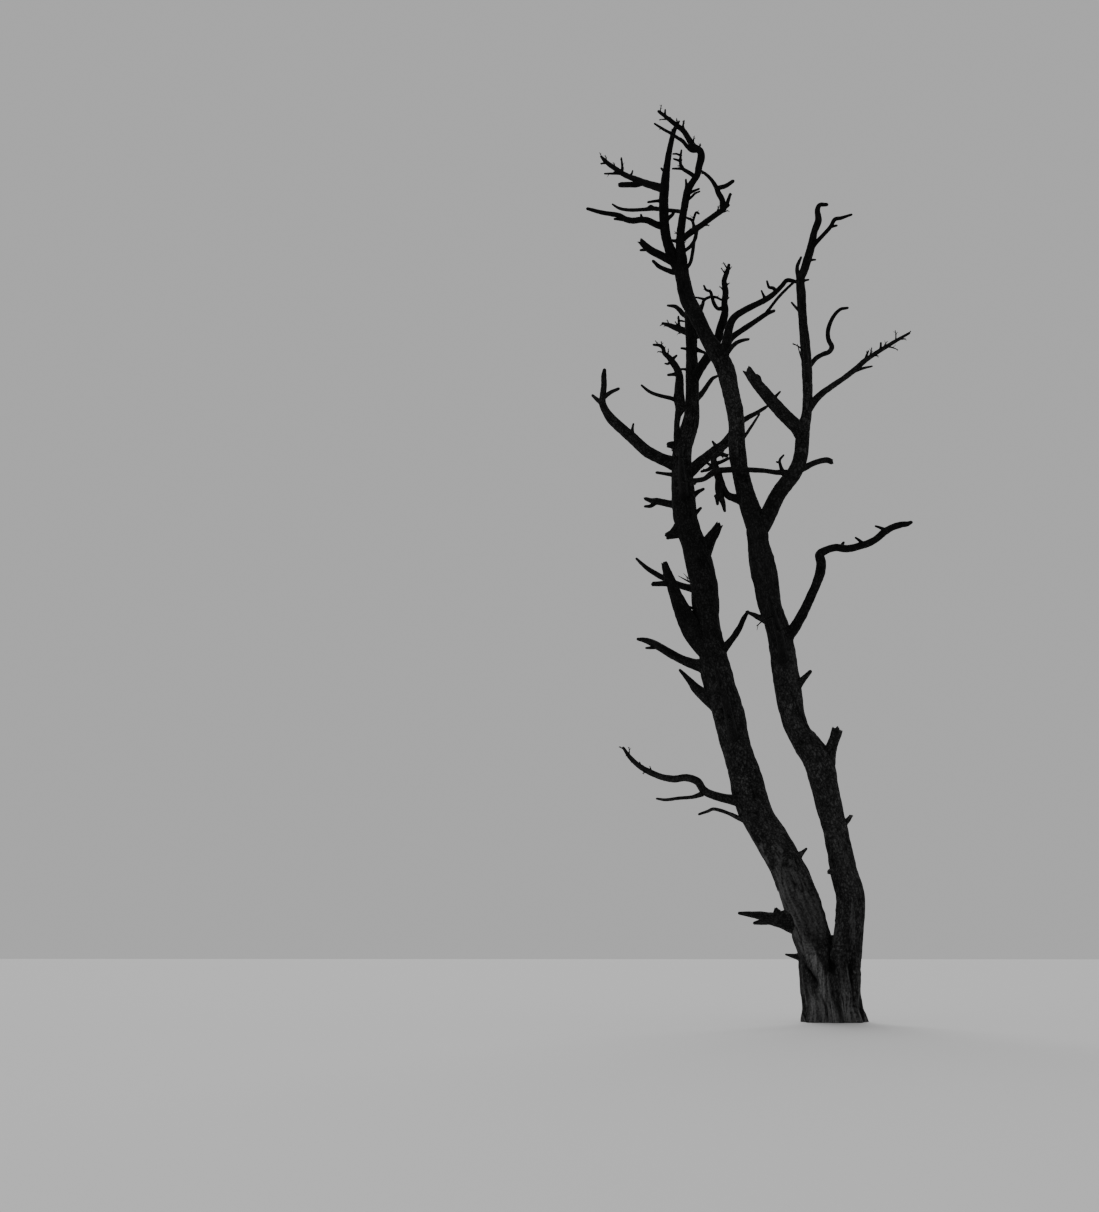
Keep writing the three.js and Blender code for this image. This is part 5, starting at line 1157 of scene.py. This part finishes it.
def foot_points(middle, reach, out, up):
    """Points at that reach from the middle, in each direction, at each height."""
    return np.stack([middle[:, :1] + reach * out[:, 0], middle[:, 1:] + reach * out[:, 1],
                     np.broadcast_to(up[:, None], reach.shape)], axis=2)


def clefts(turn, up, spots, reach):
    """The reach less the hollows, and how far inside one each point is: e to the minus square of its
    distance in turn and height over the hollow's sizes, roughened by noise."""
    inside = np.zeros_like(reach)
    for hollow in HOLLOWS:
        above = up[:, None] - hollow["up"]
        away = (turn - hollow["turn"] - hollow["lean"] * above + math.pi) % (2 * math.pi) - math.pi
        far = (away / hollow["wide"]) ** 2 + (above / hollow["tall"]) ** 2
        dent = np.exp(-far * (0.4 + 1.2 * noise(spots, [0.06, 0.06, 0.12], 19)))
        reach = reach - hollow["deep"] * dent
        inside = np.maximum(inside, dent)
    return reach, inside


def foot_skin(seed=3):
    """The foot's closed skin, in rings at even heights from the flat cut at the ground: its reach with
    bark, cracks and hollows. Near its top it sinks inside the stems, and last of all in the fork."""
    up = np.linspace(0.0, FOOT_TOP, FOOT_ROWS)
    turn = around(FOOT_COLUMNS)
    out = np.stack([np.cos(turn), np.sin(turn), np.zeros_like(turn)], axis=1)
    middle, reach = foot_reach(up, out)
    spots = foot_points(middle, reach, out, up)
    grain = grain_of(FOOT_SIZE, turn + FOOT_SPIRAL * up[:, None], up, seed)
    high, *cell = FOOT_BARE["ragged"]
    low = smooth_step(*FOOT_BARE["below"], up[:, None] + high * ripple(spots, *cell, 18))
    strips = smooth_step(*FOOT_BARE["where"], noise(grain, STREAK, 17))
    bare = np.maximum(bare_band(spots, grain, -np.sin(turn)), FOOT_BARE["most"] * low * strips)
    rise, crack = relief(grain, np.full_like(reach, FOOT_SIZE), FOOT_SIZE, bare, seed)
    reach, inside = clefts(turn, up, spots, reach)
    height = up[:, None] - FORK_WEB * np.abs(np.sin(turn)) ** 6
    high, *cell = FOOT_RAGGED
    ragged = height + high * ripple(grain, *cell, 21)
    swell = FOOT_SWELL * smooth_step(*SWELL_FROM, up)[:, None] * (1 - smooth_step(*SWELL_TO, ragged))
    for level, (deep, low, full) in zip((ragged, height), SINKS):
        swell = swell - deep * smooth_step(low, full, level)
    grid = foot_points(middle, reach + rise + swell, out, up)
    # Marks: how bare; how far in a crack or hollow, which is painted as shade; and the fullest pale tone
    marks = np.stack([bare, np.maximum(crack, smooth_step(0.2, 0.7, inside)), np.ones_like(bare)], axis=2)
    poles = [np.append(middle[k], up[k]) for k in (0, -1)]
    return closed(grid, *poles, grain, marks)


# Materials

SHEEN = 0.10  # of the wood, which is dry and dull
STREAKS, BLOTCHES = (36.0, 6.0, 0.12), (6.0, 5.0, 0.14)  # scale, detail, and how sharp
SPECKS, CRUMBS = (38.0, 8.0, 0.14), (110.0, 4.0, 0.18)
PLATES, BEND = 30.0, 0.05  # the plates' scale, and how far their joints wave
DRAWN_OUT, TALLER = (1.0, 1.0, 0.09), (1.0, 1.0, 0.4)  # streaks and plates, along the grain
# The near-black painted shade laid into cracks, hollows, the sunk middles of scars and broken ends' faces
PAINTED_SHADE = (0.001, 0.001, 0.001, 1.0)


def node(tree, kind, **settings):
    """A new node of that kind, with its properties set."""
    made = tree.nodes.new("ShaderNode" + kind)
    for field, value in settings.items():
        setattr(made, field, value)
    return made


def feed(tree, inputs, values):
    """Gives inputs their values, by name or by place: a link from a socket, a number or a colour."""
    for key, value in (values.items() if isinstance(values, dict) else enumerate(values)):
        if isinstance(value, bpy.types.NodeSocket):
            tree.links.new(value, inputs[key])
        else:
            inputs[key].default_value = value


def times(tree, value, by, plus=0.0):
    """value·by + plus, kept from 0 to 1."""
    step = node(tree, "Math", operation="MULTIPLY_ADD", use_clamp=True)
    feed(tree, step.inputs, (value, by, plus))
    return step.outputs[0]


def ramp(tree, value, low, high):
    """0 at low, 1 at high, and a smooth step between them."""
    edge = node(tree, "MapRange", interpolation_type="SMOOTHSTEP")
    feed(tree, edge.inputs, {"Value": value, "From Min": low, "From Max": high})
    return edge.outputs["Result"]


def scaled_by(tree, vector, sizes):
    """A vector times three sizes."""
    drawn = node(tree, "VectorMath", operation="MULTIPLY")
    feed(tree, drawn.inputs, (vector, sizes))
    return drawn.outputs[0]


def mixed(tree, share, low, high):
    """A colour between two, by a mask."""
    mix = node(tree, "Mix", data_type="RGBA")
    feed(tree, mix.inputs, {"Factor": share, 6: low, 7: high})
    return mix.outputs[2]


def mask(tree, vector, scale, detail, sharp):
    """Noise from 0 to 1, with that scale to the metre, sharpened to within sharp of its middle."""
    texture = node(tree, "TexNoise")
    feed(tree, texture.inputs, {"Vector": vector, "Scale": scale, "Detail": detail, "Roughness": 0.65})
    return ramp(tree, texture.outputs["Fac"], 0.5 - sharp, 0.5 + sharp)


def plates(tree, vector):
    """Bark in wavy, upright plates with dark joints between them: how far a point is out of the
    joints, from 0 to 1, and each plate's own tone."""
    bent = node(tree, "TexNoise")
    feed(tree, bent.inputs, {"Vector": vector, "Scale": PLATES})
    wavy = node(tree, "VectorMath", operation="MULTIPLY_ADD")
    feed(tree, wavy.inputs, (bent.outputs["Color"], (BEND, BEND, BEND), vector))
    longer = scaled_by(tree, wavy.outputs[0], TALLER)
    between = node(tree, "TexVoronoi", feature="DISTANCE_TO_EDGE")
    each = node(tree, "TexVoronoi", feature="F1")
    for texture in (between, each):
        feed(tree, texture.inputs, {"Vector": longer, "Scale": PLATES})
    tone = node(tree, "SeparateXYZ")
    feed(tree, tone.inputs, (each.outputs["Color"],))
    return ramp(tree, between.outputs["Distance"], 0.03, 0.24), tone.outputs["X"]


def bark_and_wood():
    """A node group for bark and bare wood on one skin, on the limb's own grain coordinates. Bark is in
    plates, dark to pale by their own tones, by crumbs and by slow blotches, and paler where its height
    is given a paler tone. Bare wood goes by streaks. Marks hold how bare the skin is, how deep in a
    crack, hollow or sunk place, where the colour is painted shade towards near-black, and the tone given
    by height. It gives the colour, the roughness and the grain's height, which is level on bare wood."""
    tree = bpy.data.node_groups.new("bark_and_wood", "ShaderNodeTree")
    for name, kind in (("Grain", "Vector"), ("Marks", "Vector"), ("Fineness", "Float"),
                       ("Bark Dark", "Color"), ("Bark Pale", "Color"),
                       ("Wood Dark", "Color"), ("Wood Pale", "Color")):
        tree.interface.new_socket(name=name, in_out="INPUT", socket_type="NodeSocket" + kind)
    for name, kind in (("Colour", "Color"), ("Roughness", "Float"), ("Height", "Float")):
        tree.interface.new_socket(name=name, in_out="OUTPUT", socket_type="NodeSocket" + kind)
    given, result = tree.nodes.new("NodeGroupInput").outputs, tree.nodes.new("NodeGroupOutput").inputs
    sized = node(tree, "VectorMath", operation="SCALE")
    feed(tree, sized.inputs, {0: given["Grain"], "Scale": given["Fineness"]})
    grain = sized.outputs[0]
    marks = node(tree, "SeparateXYZ")
    feed(tree, marks.inputs, (given["Marks"],))
    # bare: how bare; deep: how far in a crack, hollow or sunk place, painted as shade; weathered: the tone
    # given by height, darkest at the top
    bare, deep, weathered = marks.outputs

    streaks = mask(tree, scaled_by(tree, grain, DRAWN_OUT), *STREAKS)
    blotches, specks, crumbs = [mask(tree, grain, *noises) for noises in (BLOTCHES, SPECKS, CRUMBS)]
    solid, tone = plates(tree, grain)
    tones = times(tree, tone, 0.45, times(tree, specks, 0.55))
    rough = times(tree, times(tree, crumbs, 0.2, tones), times(tree, blotches, 0.55, 0.45))
    rough = times(tree, rough, times(tree, solid, 0.8, 0.2))
    bark = mixed(tree, times(tree, rough, weathered), given["Bark Dark"], given["Bark Pale"])
    lines = times(tree, streaks, 0.55, times(tree, specks, 0.45))
    faded = times(tree, lines, times(tree, weathered, 0.8, 0.2))
    wood = mixed(tree, faded, given["Wood Dark"], given["Wood Pale"])
    # Painted shade: the colour is darkened towards near-black by how deep in a crack, hollow or sunk place
    # it is
    colour = mixed(tree, times(tree, deep, 0.85), mixed(tree, bare, bark, wood), PAINTED_SHADE)
    polish = node(tree, "MapRange")
    feed(tree, polish.inputs, {"Value": lines, "To Min": 0.97, "To Max": 0.82})
    height = node(tree, "Mix", data_type="FLOAT")
    feed(tree, height.inputs, {0: bare, 2: lines, 3: 0.0})
    feed(tree, result, (colour, polish.outputs["Result"], height.outputs[0]))
    return tree


def grey(value):
    """A neutral grey of that brightness."""
    return (value, value, value, 1.0)


def wood_material(name, bark_range, wood_range, fineness, bump):
    """Bark and bare wood with their own greys, dark to pale, and the height of the grain as a bump."""
    material = bpy.data.materials.new(name)
    material.use_nodes = True
    tree = material.node_tree
    look = node(tree, "Group", node_tree=BARK_AND_WOOD)
    marks = [node(tree, "Attribute", attribute_name=field).outputs["Vector"] for field in ("grain", "marks")]
    feed(tree, look.inputs, marks + [fineness] + [grey(value) for value in bark_range + wood_range])
    raised = node(tree, "Bump")
    feed(tree, raised.inputs, {"Strength": 0.8, "Distance": bump, "Height": look.outputs["Height"]})
    feed(tree, tree.nodes["Principled BSDF"].inputs, {
        "Base Color": look.outputs["Colour"], "Roughness": look.outputs["Roughness"],
        "Normal": raised.outputs["Normal"], "Specular IOR Level": SHEEN})
    return material


BARK_AND_WOOD = bark_and_wood()
FOOT_WOOD = wood_material("foot_wood", (0.003, 0.070), (0.012, 0.170), 1.0, 0.004)
STEM_WOOD = wood_material("stem_wood", (0.003, 0.073), (0.010, 0.120), 1.0, 0.004)
BOUGH_WOOD = wood_material("bough_wood", (0.002, 0.050), (0.008, 0.070), 1.5, 0.002)
TWIG_WOOD = wood_material("twig_wood", (0.003, 0.030), (0.008, 0.040), 2.5, 0.001)


# Pieces

def finished(name, skins, material, nodes):
    """One mesh from many skins, with their grain and marks as point attributes, standing for the named
    nodes and riding on the tree's body."""
    offsets = np.cumsum([0] + [len(s["points"]) for s in skins])
    points = np.concatenate([s["points"] for s in skins])
    quads = np.concatenate([s["quads"] + o for s, o in zip(skins, offsets)])
    fans = np.concatenate([s["fans"] + o for s, o in zip(skins, offsets)])
    mesh = bpy.data.meshes.new(name)
    mesh.vertices.add(len(points))
    mesh.vertices.foreach_set("co", points.astype(np.float32).ravel())
    corners = np.concatenate([quads.ravel(), fans.ravel()]).astype(np.int32)
    mesh.loops.add(len(corners))
    mesh.loops.foreach_set("vertex_index", corners)
    starts = np.concatenate([np.arange(len(quads)) * 4, quads.size + np.arange(len(fans)) * 3])
    mesh.polygons.add(len(starts))
    mesh.polygons.foreach_set("loop_start", starts.astype(np.int32))
    mesh.polygons.foreach_set("use_smooth", np.ones(len(starts), bool))
    for field in ("grain", "marks"):
        values = np.concatenate([s[field] for s in skins]).astype(np.float32)
        mesh.attributes.new(field, "FLOAT_VECTOR", "POINT").data.foreach_set("vector", values.ravel())
    mesh.update(calc_edges=True)
    mesh.validate()
    mesh.materials.append(material)
    piece = bpy.data.objects.new(name, mesh)
    bpy.context.scene.collection.objects.link(piece)
    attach(piece, "root")
    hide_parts(*nodes)


snag = limb([[-220, 790, 20, 70], [-400, 870, 0, 48], [-500, 890, -10, 32], [-600, 912, -20, 12]])
grow("foot_wood", ["trunk_foot"], snag, left_stem)

# Each material's slot and pieces
DRESSED = [
    (FOOT_WOOD, "weathered_wood", ["foot_wood"]),
    (STEM_WOOD, "bark", ["left_stem_bark", "right_stem_bark", "limbs_bark"]),
    (BOUGH_WOOD, "bark", ["leaders_bark", "left_boughs", "right_boughs", "leader_boughs"]),
    (TWIG_WOOD, "twigs", ["crown_twigs", "outer_twigs"]),
]
for material, slot, names in DRESSED:
    for name in names:
        grown = pieces[name]
        skins = [foot_skin()] if name == "foot_wood" else []
        skins += [skin(form, parent, 20 + k) for k, (form, parent) in enumerate(grown["limbs"])]
        skins += [slim_skin(twig, level, k) for k, (twig, level) in enumerate(grown["twigs"])]
        finished(name, skins, material, grown["nodes"])


# Studio

FLOOR = dict(grey=0.72, roughness=0.9, half=400.0, up=-0.003)
SKY = dict(grey=0.52, strength=0.9)
SUN = dict(strength=1.6, broad=35, tilt=-52, turn=12)  # the last three in degrees


def studio():
    """A plain pale floor and backdrop, an even pale sky of light, and one broad soft light from behind
    and above, on the side that the photograph is lit from."""
    paint = bpy.data.materials.new("floor")
    paint.use_nodes = True
    shader = paint.node_tree.nodes["Principled BSDF"]
    shader.inputs["Base Color"].default_value = grey(FLOOR["grey"])
    shader.inputs["Roughness"].default_value = FLOOR["roughness"]
    half, up = FLOOR["half"], FLOOR["up"]
    mesh = bpy.data.meshes.new("floor")
    corners = [(-half, -half, up), (half, -half, up), (half, half, up), (-half, half, up)]
    mesh.from_pydata(corners, [], [(0, 1, 2, 3)])
    mesh.materials.append(paint)
    floor = bpy.data.objects.new("floor", mesh)
    bpy.context.scene.collection.objects.link(floor)
    world = bpy.data.worlds.new("studio")
    world.use_nodes = True
    sky = world.node_tree.nodes["Background"]
    sky.inputs["Color"].default_value = grey(SKY["grey"])
    sky.inputs["Strength"].default_value = SKY["strength"]
    bpy.context.scene.world = world
    lamp = bpy.data.lights.new("back_light", "SUN")
    lamp.energy = SUN["strength"]
    lamp.angle = math.radians(SUN["broad"])
    light = bpy.data.objects.new("back_light", lamp)
    light.rotation_euler = (math.radians(SUN["tilt"]), 0.0, math.radians(SUN["turn"]))
    bpy.context.scene.collection.objects.link(light)


studio()
